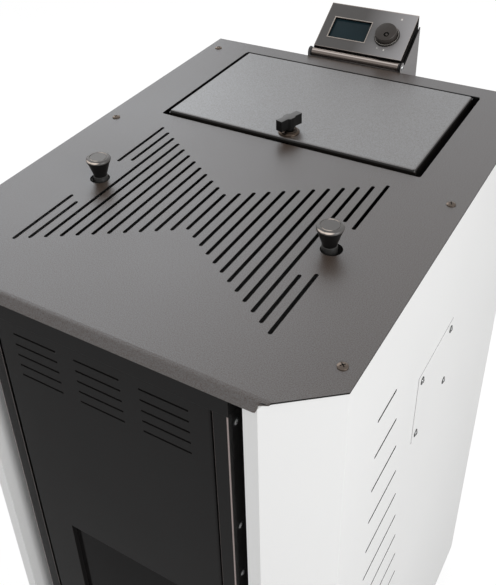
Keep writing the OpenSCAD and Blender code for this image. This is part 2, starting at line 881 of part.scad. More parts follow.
module lid_hinges() {
    leaf_y = hatch_y1 + collar_gap;
    barrel_l = 12;
    color("silver") place() both_sides() {
        rod_x(lid_pin_d / 2, lid_pin_y, lid_pin_z, 132 - barrel_l, 144 + barrel_l);
        for (x = [132 - clear - barrel_l, 144 + clear]) {
            rod_x(lid_knuckle_d / 2, lid_pin_y, lid_pin_z, x, x + barrel_l);
            block(x, x + barrel_l, lid_pin_y, leaf_y, lid_pin_z - 1.5, lid_pin_z + 1.5);
        }
    }
}

// One half of the wing handle, with a sloping end that undercuts towards the hub
module wing_half() {
    rotate([90, 0, 0]) translate([0, 0, -wing_w * 0.45]) linear_extrude(wing_w * 0.8) polygon([
        [0, 3], [8, 3], [wing_l / 2 - 4, 7], [wing_l / 2, wing_h - 2], [wing_l / 2 - 2, wing_h], [0, wing_h],
    ]);
}

module lid_lock_knob() {
    color("#1c1c1c") place() translate([0, lock_y, lock_knob_z]) {
        cylinder(d = 17, h = wing_h - 1);
        for (a = [0, 180]) rotate(wing_turn + a) wing_half();
        translate([0, 0, cam_z - lock_knob_z]) cylinder(d = lock_shaft_d, h = lock_knob_z - cam_z + eps);
    }
}

module lid_lock_ring() {
    bore_r = lock_shaft_d / 2 + 1;
    ring_r = lock_ring_d / 2;
    color("#3b332d") place() translate([0, lock_y, lid_z1]) rotate_extrude() polygon([
        [bore_r, 0], [ring_r, 0], [ring_r, 1.6], [ring_r - 2.4, lock_ring_h], [bore_r, lock_ring_h],
    ]);
}

module lid_lock_cam() {
    color("silver") place() translate([0, lock_y, cam_z]) rotate(wing_turn + 90) difference() {
        union() {
            cylinder(d = cam_w + 4, h = cam_t);
            translate([0, -cam_w / 2, 0]) cube([cam_l, cam_w, cam_t]);
        }
        translate([0, 0, -1]) cylinder(d = lock_shaft_d, h = cam_t + 2);
    }
}

// Hopper
module hopper_seal() {
    color("#202020") place() difference() {
        block(-lid_hx - 3, lid_hx + 3, lid_y0 - 3, lid_y1 + 3, ledge_z, ledge_z + seal_h);
        block(-lid_hx + seal_w - 3, lid_hx - seal_w + 3, lid_y0 + seal_w - 3, lid_y1 - seal_w + 3,
            ledge_z - 1, ledge_z + seal_h + 1);
    }
}

module hopper_form(grow) {
    hull() {
        block(-hopper_hx - grow, hopper_hx + grow, hopper_y0 - grow, hopper_y1 + grow,
            hopper_bend_z, hopper_bend_z + 1);
        block(-neck_hx - grow, neck_hx + grow, neck_y0 - grow, neck_y1 + grow, neck_z, neck_z + 1);
    }
    block(-hopper_hx - grow, hopper_hx + grow, hopper_y0 - grow, hopper_y1 + grow,
        hopper_bend_z, ledge_z - hopper_wall + (grow > 0 ? 0 : hopper_wall + 1));
    block(-neck_hx - grow, neck_hx + grow, neck_y0 - grow, neck_y1 + grow, feed_z, neck_z + 1);
}

module collar_block(grow, z0, z1) {
    x = hatch_hx + collar_gap + grow;
    block(-x, x, hatch_y - collar_front - grow, hatch_y1 + collar_gap + grow, z0, z1);
}

module hopper() {
    color("lightgray") place() difference() {
        union() {
            hopper_form(hopper_wall);
            collar_block(collar_t, ledge_z - hopper_wall, ledge_z);
            difference() {
                collar_block(collar_t, ledge_z, under_z);
                collar_block(0, ledge_z - 1, under_z + 1);
            }
        }
        hopper_form(0);
        rod_y(feed_r + run, 0, feed_z, neck_y0 - 10, neck_y1 + 10);
    }
}

module feed_tube() {
    color("gray") place() difference() {
        union() {
            rod_y(feed_r, 0, feed_z, feed_y0, feed_y1);
            rod_y(feed_r + 8, 0, feed_z, boiler_y1, boiler_y1 + 5);
        }
        rod_y(feed_r - feed_wall, 0, feed_z, feed_y0 - 1, feed_y1 - 6);
        rod_y(auger_tip_d / 2 + run, 0, feed_z, feed_y1 - 7, feed_y1 + 1);
        block(-neck_hx + 8, neck_hx - 8, neck_y0 + 2, neck_y1 - 2, feed_z, feed_z + feed_r + 1);
    }
}

module feed_auger() {
    l = feed_y1 - 10 - (feed_y0 + 4);
    flight_r = feed_r - feed_wall - 2;
    turns = l / auger_pitch;
    color("silver") place() {
        rod_y(auger_shaft_d / 2, 0, feed_z, feed_y0 + 4, feed_y1 - 8);
        rod_y(auger_tip_d / 2, 0, feed_z, feed_y1 - 9, feed_y1 + 22);
        translate([0, feed_y0 + 4, feed_z]) rotate([-90, 0, 0])
            linear_extrude(l, twist = -360 * turns, slices = ceil(turns * 12))
                translate([0, -2]) square([flight_r, 4]);
    }
}

module gear_motor() {
    y0 = feed_y1;
    color("slategray") place() difference() {
        union() {
            block(-34, 34, y0, y0 + 30, feed_z - 34, feed_z + 34);
            rod_y(26, 0, feed_z, y0 + 30, back_y - sheet_t - 3);
        }
        rod_y(auger_tip_d / 2 + run, 0, feed_z, y0 - 1, feed_y1 + 24);
    }
}

// Cleaning knobs and rods
module knob_shape(x) {
    low_r = knob_d * 0.28;
    color("#1c1c1c") place() translate([x, knob_y, top_z]) difference() {
        rotate_extrude() polygon([
            [0, -6], [low_r, -6], [low_r, 5], [knob_d / 2 - 1.2, knob_h - 8],
            [knob_d / 2, knob_h - 5], [knob_d / 2, knob_h - 3.5], [knob_d / 2 - 3.2, knob_h],
            [0, knob_h],
        ]);
        translate([0, 0, -7]) cylinder(r = rod_r, h = 17);
    }
}

module left_cleaning_knob() knob_shape(-knob_x);
module right_cleaning_knob() knob_shape(knob_x);

// A rod with a scraper of round plates that fits inside the exchanger tube
module cleaning_rod(x) {
    pitch = (scraper_z1 - scraper_z0) / (scraper_n - 1);
    color("silver") place() {
        rod_z(rod_r, x, knob_y, scraper_z0, top_z + 10);
        for (i = [0 : scraper_n - 1])
            rod_z(tube_r - 2, x, knob_y, scraper_z0 + i * pitch, scraper_z0 + i * pitch + scraper_t);
    }
}

module left_cleaning_rod() cleaning_rod(-knob_x);
module right_cleaning_rod() cleaning_rod(knob_x);

// Boiler: gas spaces, grown by the plate thickness for the shells round them
module gas_spaces(grow) {
    block(-fire_hx - grow, fire_hx + grow, fire_y0 - grow, fire_y1 + grow, fire_z0 - grow, fire_z1 + grow);
    block(-riser_hx - grow, riser_hx + grow, riser_y0 - grow, riser_y1 + grow, fire_z1 - 1, smoke_z0 + 1);
    block(-smoke_hx - grow, smoke_hx + grow, knob_y - tube_r - 20 - grow, knob_y + tube_r + 20 + grow,
        smoke_z0 - grow, smoke_z1 + grow);
    both_sides() {
        rod_z(tube_r + grow, knob_x, knob_y, collect_z1 - 1, smoke_z0 + 1);
        block(collect_x0 - grow, collect_hx + grow, knob_y - tube_r - 4 - grow, boiler_y1 + 1,
            collect_z0 - grow, collect_z1 + grow);
    }
    rod_y(air_r - tube_wall + grow, air_x, air_z, fire_y1 - 1, boiler_y1 + 1);
}

// The water jacket with its welded guides for the two cleaning rods
module boiler_body() {
    color("#6e6a66") place() difference() {
        union() {
            block(-boiler_hx, boiler_hx, boiler_y, boiler_y1, boiler_z0, boiler_z1);
            both_sides() rod_z(guide_d / 2, knob_x, knob_y, boiler_z1 - 1, boiler_z1 + guide_h);
        }
        difference() {
            block(-boiler_hx + plate_t, boiler_hx - plate_t, boiler_y + plate_t, boiler_y1 - plate_t,
                boiler_z0 + plate_t, boiler_z1 - plate_t);
            gas_spaces(plate_t);
            rod_y(feed_r + 6, 0, feed_z, fire_y1, boiler_y1);
            both_sides() rod_z(guide_d / 2, knob_x, knob_y, smoke_z1, boiler_z1);
            water_stubs(pipe_r + plate_t);
        }
        gas_spaces(0);
        block(-mouth_hx, mouth_hx, boiler_y - 1, fire_y0 + 1, mouth_z0, mouth_z1);
        block(-ash_mouth_hx, ash_mouth_hx, boiler_y - 1, fire_y0 + 1, ash_mouth_z0, ash_mouth_z1);
        rod_y(feed_r + run, 0, feed_z, fire_y1 - plate_t - 1, boiler_y1 + 1);
        both_sides() rod_z(rod_r + run, knob_x, knob_y, smoke_z1 - 1, boiler_z1 + guide_h + 1);
        water_stubs(pipe_r - 2);
    }
}

// Where the flow and return pipes enter the jacket's rear plate
module water_stubs(r) {
    rod_y(r, flow_x, flow_z, boiler_y1 - 2 * plate_t, boiler_y1 + 1);
    rod_y(r, return_x, return_z, boiler_y1 - 2 * plate_t, boiler_y1 + 1);
}

pot_y = 262;
pot_r = 55;
pot_wall = 4;

module fire_floor() {
    color("#4c4a48") place() difference() {
        block(-fire_hx, fire_hx, fire_y0, fire_y1, floor_z, floor_z + 6);
        rod_z(pot_r + 0.5, 0, pot_y, floor_z - 1, floor_z + 7);
        for (x = [-80 : 20 : 80])
            block(x - 4, x + 4, fire_y0 + 20, pot_y - pot_r - 20, floor_z - 1, floor_z + 7);
    }
}

module burner_pot() {
    color("#3d3b39") place() translate([0, pot_y, floor_z]) difference() {
        union() {
            translate([0, 0, -44]) cylinder(r = pot_r, h = 74);
            translate([0, 0, 6]) cylinder(r = pot_r + 8, h = 5);
        }
        translate([0, 0, -40]) cylinder(r = pot_r - pot_wall, h = 80);
        for (a = [0 : 45 : 315]) rotate(a) translate([30, 0, -50]) cylinder(d = 7, h = 20, $fn = 16);
        for (a = [0 : 30 : 330]) rotate(a) translate([pot_r, 0, -20]) rotate([0, 90, 0])
            cylinder(d = 6, h = 30, center = true, $fn = 16);
    }
}

// Flue side
module fan_housing() {
    elbow_y1 = fan_y1 + 12;
    color("gray") place() {
        difference() {
            union() {
                block(-collect_hx - 4, collect_hx + 4, boiler_y1, duct_y1, collect_z0 - 6, collect_z1 + 6);
                rod_y(fan_r, fan_x, fan_z, duct_y1, fan_y1);
                block(outlet_x - 25, outlet_x + 25, duct_y1, fan_y1, flue_z + elbow_h / 2 - 1, fan_z);
                block(flue_x - elbow_h / 2, flue_x + elbow_h / 2, duct_y1 - 20, elbow_y1,
                    flue_z - elbow_h / 2, flue_z + elbow_h / 2);
            }
            block(-collect_hx - 2, collect_hx + 2, boiler_y1 - 1, duct_y1 - duct_wall,
                collect_z0 - 4, collect_z1 + 4);
            rod_y(fan_inlet_r, fan_x, fan_z, duct_y1 - 5, duct_y1 + 5);
            rod_y(fan_r - duct_wall, fan_x, fan_z, duct_y1 + duct_wall, fan_y1 - duct_wall);
            block(outlet_x - 23, outlet_x + 23, duct_y1 + duct_wall, fan_y1 - duct_wall, flue_z, fan_z);
            block(flue_x - elbow_h / 2 + 2, flue_x + elbow_h / 2 - 2, duct_y1 - 18, elbow_y1 - 2,
                flue_z - elbow_h / 2 + 2, flue_z + elbow_h / 2 - 2);
            rod_y(flue_r - tube_wall, flue_x, flue_z, elbow_y1 - 5, elbow_y1 + 1);
            rod_y(fan_shaft_d / 2 + run, fan_x, fan_z, fan_y1 - 5, fan_y1 + 1);
        }
    }
}

module fan_impeller() {
    y0 = duct_y1 + 6;
    y1 = fan_y1 - 6;
    color("silver") place() {
        rod_y(fan_r - 17, fan_x, fan_z, y1 - 2, y1);
        rod_y(12, fan_x, fan_z, y1 - 20, y1 - 1);
        rod_y(fan_shaft_d / 2, fan_x, fan_z, y1 - 22, fan_y1 + 30);
        for (a = [0 : 45 : 315]) translate([fan_x, y0, fan_z]) rotate([0, a, 0])
            translate([10, 0, -1]) cube([fan_r - 29, y1 - y0 - 1, 2]);
    }
}

module fan_motor() {
    color("slategray") place() difference() {
        union() {
            rod_y(fan_motor_d / 2, fan_x, fan_z, fan_y1 + 8, fan_y1 + 62);
            rod_y(14, fan_x, fan_z, fan_y1, fan_y1 + 9);
            rod_y(fan_motor_d / 2 - 12, fan_x, fan_z, fan_y1 + 61, fan_y1 + 70);
        }
        rod_y(fan_shaft_d / 2 + run, fan_x, fan_z, fan_y1 - 1, fan_y1 + 32);
    }
}

module flue_outlet() {
    y0 = fan_y1 + 12;
    color("silver") place() difference() {
        union() {
            rod_y(flue_r, flue_x, flue_z, y0, back_y + flue_out);
            rod_y(flue_r + 7, flue_x, flue_z, back_y, back_y + 3);
        }
        rod_y(flue_r - tube_wall, flue_x, flue_z, y0 - 1, back_y + flue_out + 1);
    }
}

module air_intake() {
    color("silver") place() difference() {
        union() {
            rod_y(air_r, air_x, air_z, boiler_y1, back_y + air_out);
            rod_y(air_r + 6, air_x, air_z, back_y, back_y + 3);
        }
        rod_y(air_r - tube_wall, air_x, air_z, boiler_y1 - 1, back_y + air_out + 1);
    }
}

// Console
module console_bracket() {
    x0 = face_x - cheek_in;
    x1 = face_x + cheek_in;
    rise = tan(face_tilt);
    slope_z = bar_z + face_level / cos(face_tilt) - cheek_drop;
    nose_r = bar_d / 2 + 1.5;
    color("#4a4846") place() {
        for (x = [x0 - cheek_t, x1]) translate([x, 0, 0]) rotate([90, 0, 90]) difference() {
            linear_extrude(cheek_t) union() {
                polygon([
                    [back_y, top_z - bracket_drop],
                    [y_back, top_z - bracket_drop],
                    [y_back, slope_z + (y_back - bar_y) * rise],
                    [bar_y + 11, slope_z + 11 * rise],
                    [bar_y, bar_z + nose_r],
                    [bar_y - nose_r, bar_z],
                    [bar_y - nose_r, top_z - 6],
                    [back_y, top_z - 10],
                ]);
                translate([bar_y, bar_z]) circle(r = nose_r);
            }
            translate([bar_y, bar_z, -1]) cylinder(d = pivot_d, h = cheek_t + 2);
        }
        block(x0, x1, back_y, y_back, top_z - bracket_drop, top_z - bracket_drop + sheet_t);
        block(x0, x1, back_y, back_y + sheet_t, top_z - bracket_drop + sheet_t, top_z - 10);
        block(x0, x1, y_back - sheet_t, y_back, top_z - bracket_drop + sheet_t,
            top_z - bracket_drop + tray_edge);
    }
}

// Side outline of the console's case, drawn in by a wall
module case_outline(inset) {
    e = [cos(face_tilt), sin(face_tilt)];
    n = [-sin(face_tilt), cos(face_tilt)];
    bar = [bar_y, bar_z];
    front = bar + (face_start + inset) * e + (face_level - inset) * n;
    rear_y = face_rear - inset;
    rear_z = front[1] + (rear_y - front[0]) * e[1] / e[0];
    low_z = bar_z + (face_rear - bar_y) * e[1] / e[0] + face_level - housing_d + inset;
    low = bar + (face_start + inset) * e + (face_level - 16 + inset) * n;
    polygon([front, [rear_y, rear_z], [rear_y, low_z], low]);
}

module display_housing() {
    rim = 1.5;
    color("#4a4846") place() difference() {
        union() {
            difference() {
                translate([face_x - face_hx, 0, 0]) rotate([90, 0, 90])
                    linear_extrude(face_w) case_outline(0);
                translate([face_x - face_hx + housing_wall, 0, 0]) rotate([90, 0, 90])
                    linear_extrude(face_w - 2 * housing_wall) case_outline(housing_wall);
            }
            on_face(lcd_x0 - rim, lcd_u0 - rim, -lcd_depth)
                cube([lcd_w + 2 * rim, lcd_h + 2 * rim, lcd_depth - eps]);
        }
        on_face(lcd_x0, lcd_u0, -lcd_depth - 1) cube([lcd_w, lcd_h, lcd_depth + 2]);
        on_face(dial_x, dial_u) cylinder(d = shaft_d + 2, h = 10, center = true);
        on_face(light_x, light_u) cylinder(d = light_d, h = 10, center = true);
    }
}

module display_glass() {
    color("#13212c") place() on_face(lcd_x0 - 1.5, lcd_u0 - 1.5, -lcd_depth - 2)
        cube([lcd_w + 3, lcd_h + 3, 2]);
}

module status_light() {
    color("white") place() on_face(light_x, light_u, -housing_wall)
        cylinder(d = light_d, h = housing_wall + 0.6);
}

// A shallow cup round the knob, on a sleeve that guides the knob's shaft
module dial_base() {
    bore_r = shaft_d / 2 + run;
    cup_r = dial_d / 2 + 0.8;
    color("#222222") place() on_face(dial_x, dial_u, eps) rotate_extrude() polygon([
        [bore_r, -housing_wall], [shaft_d / 2 + 1, -housing_wall], [shaft_d / 2 + 1, 0],
        [cup_r + 2.7, 0], [cup_r + 2.7, 1.8], [cup_r + 1.1, dial_base_h], [cup_r, dial_base_h],
        [cup_r, dial_floor], [bore_r, dial_floor],
    ]);
}

// Slides with the knob when it is pressed; the knob's shaft turns in its blind bore
module dial_plunger() {
    color("gray") place() on_face(dial_x, dial_u, -dial_shaft_l - 3) difference() {
        cylinder(r = shaft_d / 2 + 3, h = 8);
        translate([0, 0, 3]) cylinder(r = shaft_d / 2 + run, h = 6);
    }
}

module dial_knob() {
    z0 = dial_floor + dial_press + clear;
    color("#1c1c1c") place() on_face(dial_x, dial_u, z0) {
        difference() {
            rotate_extrude() polygon([
                [0, 0], [dial_d / 2, 0], [dial_d / 2, dial_h - 2.5],
                [dial_d / 2 - 1.5, dial_h - 0.6], [dial_d / 2 - 3.2, dial_h], [0, dial_h],
            ]);
            translate([dial_d * 0.14, -1, dial_h - 0.8]) difference() {
                cylinder(r = 2.6, h = 2);
                translate([0, 0, -1]) cylinder(r = 1.4, h = 4);
            }
        }
        translate([0, 0, -z0 - dial_shaft_l]) cylinder(d = shaft_d, h = z0 + dial_shaft_l + eps);
    }
}

module hinge_bar() {
    color("#5a524b") place() difference() {
        union() {
            rod_x(bar_d / 2, bar_y, bar_z, face_x - cheek_in + 0.5, face_x + cheek_in - 0.5);
            for (x = [face_x - face_hx + 12, face_x + face_hx - 32])
                translate([x, bar_y, bar_z]) rotate([face_tilt, 0, 0])
                    translate([0, 0, face_level - 12]) cube([20, face_start, 3]);
        }
        for (x = [face_x - cheek_in - 1, face_x + cheek_in - 15])
            rod_x(pivot_d / 2 + run, bar_y, bar_z, x, x + 16);
    }
}

module pivot_screws() {
    color("silver") place() for (s = [-1, 1]) translate([face_x + s * (cheek_in + cheek_t), bar_y, bar_z])
        rotate([0, s * 90, 0]) {
            screw_head(small_head_d, small_head_h);
            translate([0, 0, -cheek_t - 13]) cylinder(d = pivot_d, h = cheek_t + 13 + eps);
        }
}

// Water side
module port_pipe(x, z, y0) {
    difference() {
        union() {
            rod_y(pipe_r, x, z, y0, back_y + port_out - port_len - 2);
            rod_y(port_r + 4, x, z, back_y + port_out - port_len - 4, back_y + port_out);
        }
        rod_y(port_r, x, z, back_y + port_out - port_len, back_y + port_out + 1);
        rod_y(pipe_r - 2, x, z, y0 - 1, back_y + port_out);
    }
}

module water_pipes() {
    color("#b5853a") place() {
        port_pipe(flow_x, flow_z, boiler_y1);
        port_pipe(return_x, return_z, pump_y1);
        difference() {
            rod_y(pipe_r, return_x, return_z, boiler_y1, pump_y0);
            rod_y(pipe_r - 2, return_x, return_z, boiler_y1 - 1, pump_y0 + 1);
        }
    }
}

module circulation_pump() {
    y = (pump_y0 + pump_y1) / 2;
    color("firebrick") place() {
        rod_z(pump_r, return_x, y, return_z - 24, return_z + 24);
        rod_y(18, return_x, return_z, pump_y0, pump_y1);
        rod_z(pump_r - 4, return_x, y, return_z + 24, return_z + 90);
        block(return_x - 30, return_x + 30, y - 34, y + 34, return_z + 90, return_z + 112);
    }
}

module expansion_vessel() {
    y1 = back_y - sheet_t;
    color("firebrick") place() translate([vessel_x, y1, vessel_z]) rotate([90, 0, 0]) rotate_extrude()
        difference() {
            polygon([
                [0, 0], [20, 0], [20, 4], [vessel_r - 26, 6], [vessel_r - 6, 16], [vessel_r - 2, 30],
                [vessel_r - 2, 40], [vessel_r, 41], [vessel_r, 47], [vessel_r - 2, 48],
                [vessel_r - 2, 58], [vessel_r - 8, 72], [vessel_r - 28, vessel_d - 2], [0, vessel_d],
            ]);
            polygon([
                [0, 8], [vessel_r - 28, 9], [vessel_r - 8, 18], [vessel_r - 5, 30],
                [vessel_r - 5, 58], [vessel_r - 11, 70], [vessel_r - 30, vessel_d - 5], [0, vessel_d - 3],
            ]);
        }
}

// Electrics
module control_box() {
    x1 = side_x - sheet_t;
    gland_n = 6;
    gland_pitch = (box_y1 - box_y0) / (gland_n + 1);
    color("dimgray") place() {
        difference() {
            block(box_x0, x1, box_y0, box_y1, box_z0, box_z1);
            block(box_x0 + sheet_t, x1 + 1, box_y0 + sheet_t, box_y1 - sheet_t,
                box_z0 + sheet_t, box_z1 - sheet_t);
        }
        for (i = [1 : gland_n])
            rod_z(7, (box_x0 + x1) / 2, box_y0 + i * gland_pitch, box_z0 - 14, box_z0 + eps);
    }
}

module power_inlet() {
    hx = inlet_w / 2;
    hz = inlet_h / 2;
    rim = 2.2;
    pin_z = inlet_z - 1;
    color("#1c1c1c") place() difference() {
        union() {
            block(inlet_x - hx, inlet_x + hx, back_y, back_y + inlet_flange_t, inlet_z - hz, inlet_z + hz);
            block(inlet_x - hx + rim, inlet_x + hx - rim, back_y - 28, back_y,
                inlet_z - hz + rim, inlet_z + hz - rim);
        }
        difference() {
            block(socket_x0, socket_x1, back_y - 14, back_y + 4, inlet_z - socket_hz, inlet_z + socket_hz);
            for (p = [[-1, 0], [14, 0], [6.5, 5]])
                translate([inlet_x + p[0], back_y - 8, pin_z + p[1]]) cube([2, 14, 4], center = true);
        }
        block(switch_x0, switch_x1, back_y - 10, back_y + 4, inlet_z - 10.5, inlet_z + 10.5);
    }
}

module power_switch() {
    x = (switch_x0 + switch_x1) / 2;
    color("#b3261e") place() translate([x, back_y - 1.5, inlet_z]) {
        rotate([8, 0, 0]) intersection() {
            translate([-5, -6, -9]) cube([10, 9.5, 18]);
            rotate([0, 90, 0]) cylinder(r = 9.4, h = 12, center = true);
        }
    }
}

base_frame();
foot_front_left();
foot_front_right();
foot_rear_left();
foot_rear_right();
back_panel();
left_side_panel();
right_side_panel();
service_covers();
casing_screws();
top_plate();
top_screws();
header_panel();
front_frame();
front_door();
door_inner_frame();
door_glass();
door_seal();
door_hinge_pins();
door_handle();
latch_cam();
ash_drawer();
drawer_handle();
hopper_lid();
lid_hinges();
lid_lock_knob();
lid_lock_ring();
lid_lock_cam();
hopper_seal();
hopper();
feed_tube();
feed_auger();
gear_motor();
left_cleaning_knob();
right_cleaning_knob();
left_cleaning_rod();
right_cleaning_rod();
boiler_body();
fire_floor();
burner_pot();
fan_housing();
fan_impeller();
fan_motor();
flue_outlet();
air_intake();
console_bracket();
display_housing();
display_glass();
status_light();
dial_base();
dial_plunger();
dial_knob();
hinge_bar();
pivot_screws();
water_pipes();
circulation_pump();
expansion_vessel();
control_box();
power_inlet();
power_switch();
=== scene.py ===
import json
import math

import bmesh
import bpy
from mathutils import Matrix, Vector


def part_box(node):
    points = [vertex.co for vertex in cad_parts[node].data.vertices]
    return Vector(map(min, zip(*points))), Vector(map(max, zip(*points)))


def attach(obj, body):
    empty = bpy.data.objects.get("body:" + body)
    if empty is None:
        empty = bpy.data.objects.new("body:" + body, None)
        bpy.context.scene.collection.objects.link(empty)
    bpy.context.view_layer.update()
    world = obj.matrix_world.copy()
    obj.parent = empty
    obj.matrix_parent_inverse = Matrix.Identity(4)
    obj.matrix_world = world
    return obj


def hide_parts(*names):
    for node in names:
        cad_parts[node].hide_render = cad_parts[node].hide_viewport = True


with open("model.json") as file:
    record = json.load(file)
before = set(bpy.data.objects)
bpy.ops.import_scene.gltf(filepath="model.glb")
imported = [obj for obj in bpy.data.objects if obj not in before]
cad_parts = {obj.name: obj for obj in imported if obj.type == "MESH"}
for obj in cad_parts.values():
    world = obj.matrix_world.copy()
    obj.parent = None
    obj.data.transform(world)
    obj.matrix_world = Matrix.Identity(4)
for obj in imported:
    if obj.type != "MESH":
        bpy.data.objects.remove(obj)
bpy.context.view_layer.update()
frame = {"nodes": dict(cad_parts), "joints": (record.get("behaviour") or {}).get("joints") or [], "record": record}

NODES = frame["nodes"]
RECORD = frame["record"]
BODY_OF = {node: body for body, members in RECORD["behaviour"]["bodies"].items() for node in members}
SLOT_OF = {part["node"]: part["material_slot"] for part in RECORD["subparts"]}
JOINTS = {joint["name"]: joint for joint in frame["joints"]}
MM = 0.001
SAME_PLACE = 0.002 * MM
TURN = 2 * math.pi
AXIS_X, AXIS_Y, AXIS_Z = Vector((1, 0, 0)), Vector((0, 1, 0)), Vector((0, 0, 1))

# Camera, fitted to the photograph's straight edges and screws
IMAGE_W, IMAGE_H = 496, 585
FOCAL_PX = 824.269
PRINCIPAL_PX = (214.978, 209.914)
CAMERA_PLACE = (0.479744, -0.867851, 1.719349)
CAMERA_HEADING, CAMERA_TIP, CAMERA_ROLL = 0.580983, 0.986078, -0.051883
SENSOR_MM = 36

# Console: its face plate starts this far up the slope from the hinge bar's axis, and this far off it
FACE_START, FACE_LEVEL = 9.5 * MM, 5.5 * MM
# Where across the face a painted sheen starts and ends, the coat growing paler towards its right end
FACE_SHEEN_START_X, FACE_SHEEN_END_X = -0.032, 0.060
# How much further up the slope the case reaches than its construction does
CASE_REACH = 8 * MM
FACE_NORMAL = Vector(JOINTS["dial_turn"]["axis"])
FACE_UP = FACE_NORMAL.cross(AXIS_X)
FACE_SLOPE = Matrix.Rotation(math.atan2(FACE_UP.z, FACE_UP.y), 4, "X")
BAR_AXIS = Vector(JOINTS["console_tilt"]["pos_m"])

# Sizes in millimetres; a screw has a head's diameter and height and a shank's length, and each pull knob
# stands this far off the middle of its hole
SHEET = 2.0
SCREWS = {"casing_screws": (8.5, 2.4, 0), "top_screws": (12.0, 2.6, 14), "pivot_screws": (8.5, 2.4, 15)}
LEFT_KNOB_PLAY, RIGHT_KNOB_PLAY = 1.8, -2.6
DISPLAY_UP, DISPLAY_HEIGHT = 21.5, 40.5
WING_TURN = math.radians(72)


# Shader building
def add(tree, kind, inputs=None, **settings):
    """A new shader node with its settings, and its inputs given as values or as sockets to link."""
    node = tree.nodes.new(kind)
    for key, value in settings.items():
        setattr(node, key, value)
    for key, value in (inputs or {}).items():
        if isinstance(value, bpy.types.NodeSocket):
            tree.links.new(value, node.inputs[key])
        else:
            node.inputs[key].default_value = value
    return node


def bare_tree(owner):
    """The node tree of a material or a world, emptied."""
    owner.use_nodes = True
    owner.node_tree.nodes.clear()
    return owner.node_tree


def math_node(tree, operation, a, b=0.0, clamp=False):
    return add(tree, "ShaderNodeMath", {0: a, 1: b}, operation=operation, use_clamp=clamp).outputs[0]


def vector_node(tree, operation, a, b=(0, 0, 0)):
    return add(tree, "ShaderNodeVectorMath", {0: a, 1: b}, operation=operation).outputs


def swing(tree, value, amount):
    """Maps 0..1 to a swing about zero, as strong as the amount."""
    return math_node(tree, "MULTIPLY", math_node(tree, "SUBTRACT", value, 0.5), amount)


def spread(tree, value, low, high):
    """Maps 0..1 to low..high."""
    return add(tree, "ShaderNodeMapRange", {"Value": value, "To Min": low, "To Max": high}).outputs["Result"]


def shaded(tree, colour, factor):
    """A colour times a value that varies over the surface."""
    return vector_node(tree, "MULTIPLY", colour, factor)[0]


def laid_over(tree, mask, under, over):
    """One colour with another over it where the mask is strong."""
    return add(tree, "ShaderNodeMix", {0: mask, 6: under, 7: opaque(over)}, data_type="RGBA").outputs[2]


def opaque(colour):
    """A colour with the fourth value that a colour socket wants."""
    return (*colour, 1)


def object_place(tree):
    return add(tree, "ShaderNodeTexCoord").outputs["Object"]


def noise(tree, place, scale, detail=2.0, rough=0.5):
    inputs = {"Vector": place, "Scale": scale, "Detail": detail, "Roughness": rough}
    return add(tree, "ShaderNodeTexNoise", inputs).outputs["Fac"]


def shader_group(name, inputs, outputs, build):
    """A node group whose results come from build(tree, input sockets) as a list in the outputs' order."""
    tree = bpy.data.node_groups.new(name, "ShaderNodeTree")
    for socket, kind, default in inputs:
        made = tree.interface.new_socket(socket, in_out="INPUT", socket_type=kind)
        made.default_value = default
    for socket, kind in outputs:
        tree.interface.new_socket(socket, in_out="OUTPUT", socket_type=kind)
    source, sink = tree.nodes.new("NodeGroupInput"), tree.nodes.new("NodeGroupOutput")
    for index, result in enumerate(build(tree, source.outputs)):
        tree.links.new(result, sink.inputs[index])
    return tree


def placed_group(tree, group, inputs):
    return add(tree, "ShaderNodeGroup", inputs, node_tree=group).outputs


def build_powder_skin(tree, given):
    """Fine speckle of a baked powder coat over slow clouds of thicker and thinner coat."""
    place = object_place(tree)
    speck = noise(tree, place, given["Speck Scale"], detail=1.5)
    cloud = noise(tree, place, scale=5.0, detail=3.0)
    tone = math_node(tree, "MULTIPLY_ADD", math_node(tree, "SUBTRACT", speck, 0.5), given["Speck Tone"])
    tone.node.inputs[2].default_value = 1.0
    tone = math_node(tree, "ADD", tone, swing(tree, cloud, given["Cloud Tone"]))
    rough = swing(tree, cloud, given["Rough Spread"])
    rough = math_node(tree, "ADD", given["Roughness"], rough, clamp=True)
    return [shaded(tree, given["Color"], tone), rough, speck]


def build_edge_wear_and_highlight(tree, given):
    """A mask that is strong along outside edges, broken up by noise: lighter edges that are partly wear and partly
    a painted highlight.
    """
    rounded = add(tree, "ShaderNodeBevel", {"Radius": given["Radius"]}, samples=4).outputs[0]
    flat = add(tree, "ShaderNodeNewGeometry").outputs["Normal"]
    alike = vector_node(tree, "DOT_PRODUCT", rounded, flat)["Value"]
    steepness = 9.0
    turn = math_node(tree, "MULTIPLY", math_node(tree, "SUBTRACT", 1.0, alike), steepness, clamp=True)
    broken = spread(tree, noise(tree, object_place(tree), scale=60.0, detail=4.0), 0.2, 1.0)
    edge = math_node(tree, "MULTIPLY", turn, broken)
    return [math_node(tree, "MULTIPLY", edge, given["Amount"], clamp=True)]


def build_painted_highlight(tree, given):
    """A painted highlight: a mask along bends at the front, on the strip that faces one way."""
    normal = add(tree, "ShaderNodeNewGeometry").outputs["Normal"]
    facing = vector_node(tree, "ABSOLUTE", normal)[0]
    alike = vector_node(tree, "DOT_PRODUCT", facing, given["Facing"])["Value"]
    fading = {"Value": alike, "From Min": given["Start"], "From Max": 0.998}
    near = add(tree, "ShaderNodeMapRange", fading, interpolation_type="SMOOTHSTEP").outputs["Result"]
    depth = add(tree, "ShaderNodeSeparateXYZ", {0: normal}).outputs["Y"]
    near = math_node(tree, "MULTIPLY", near, math_node(tree, "LESS_THAN", depth, 0.0))
    return [math_node(tree, "MULTIPLY", near, given["Amount"], clamp=True)]


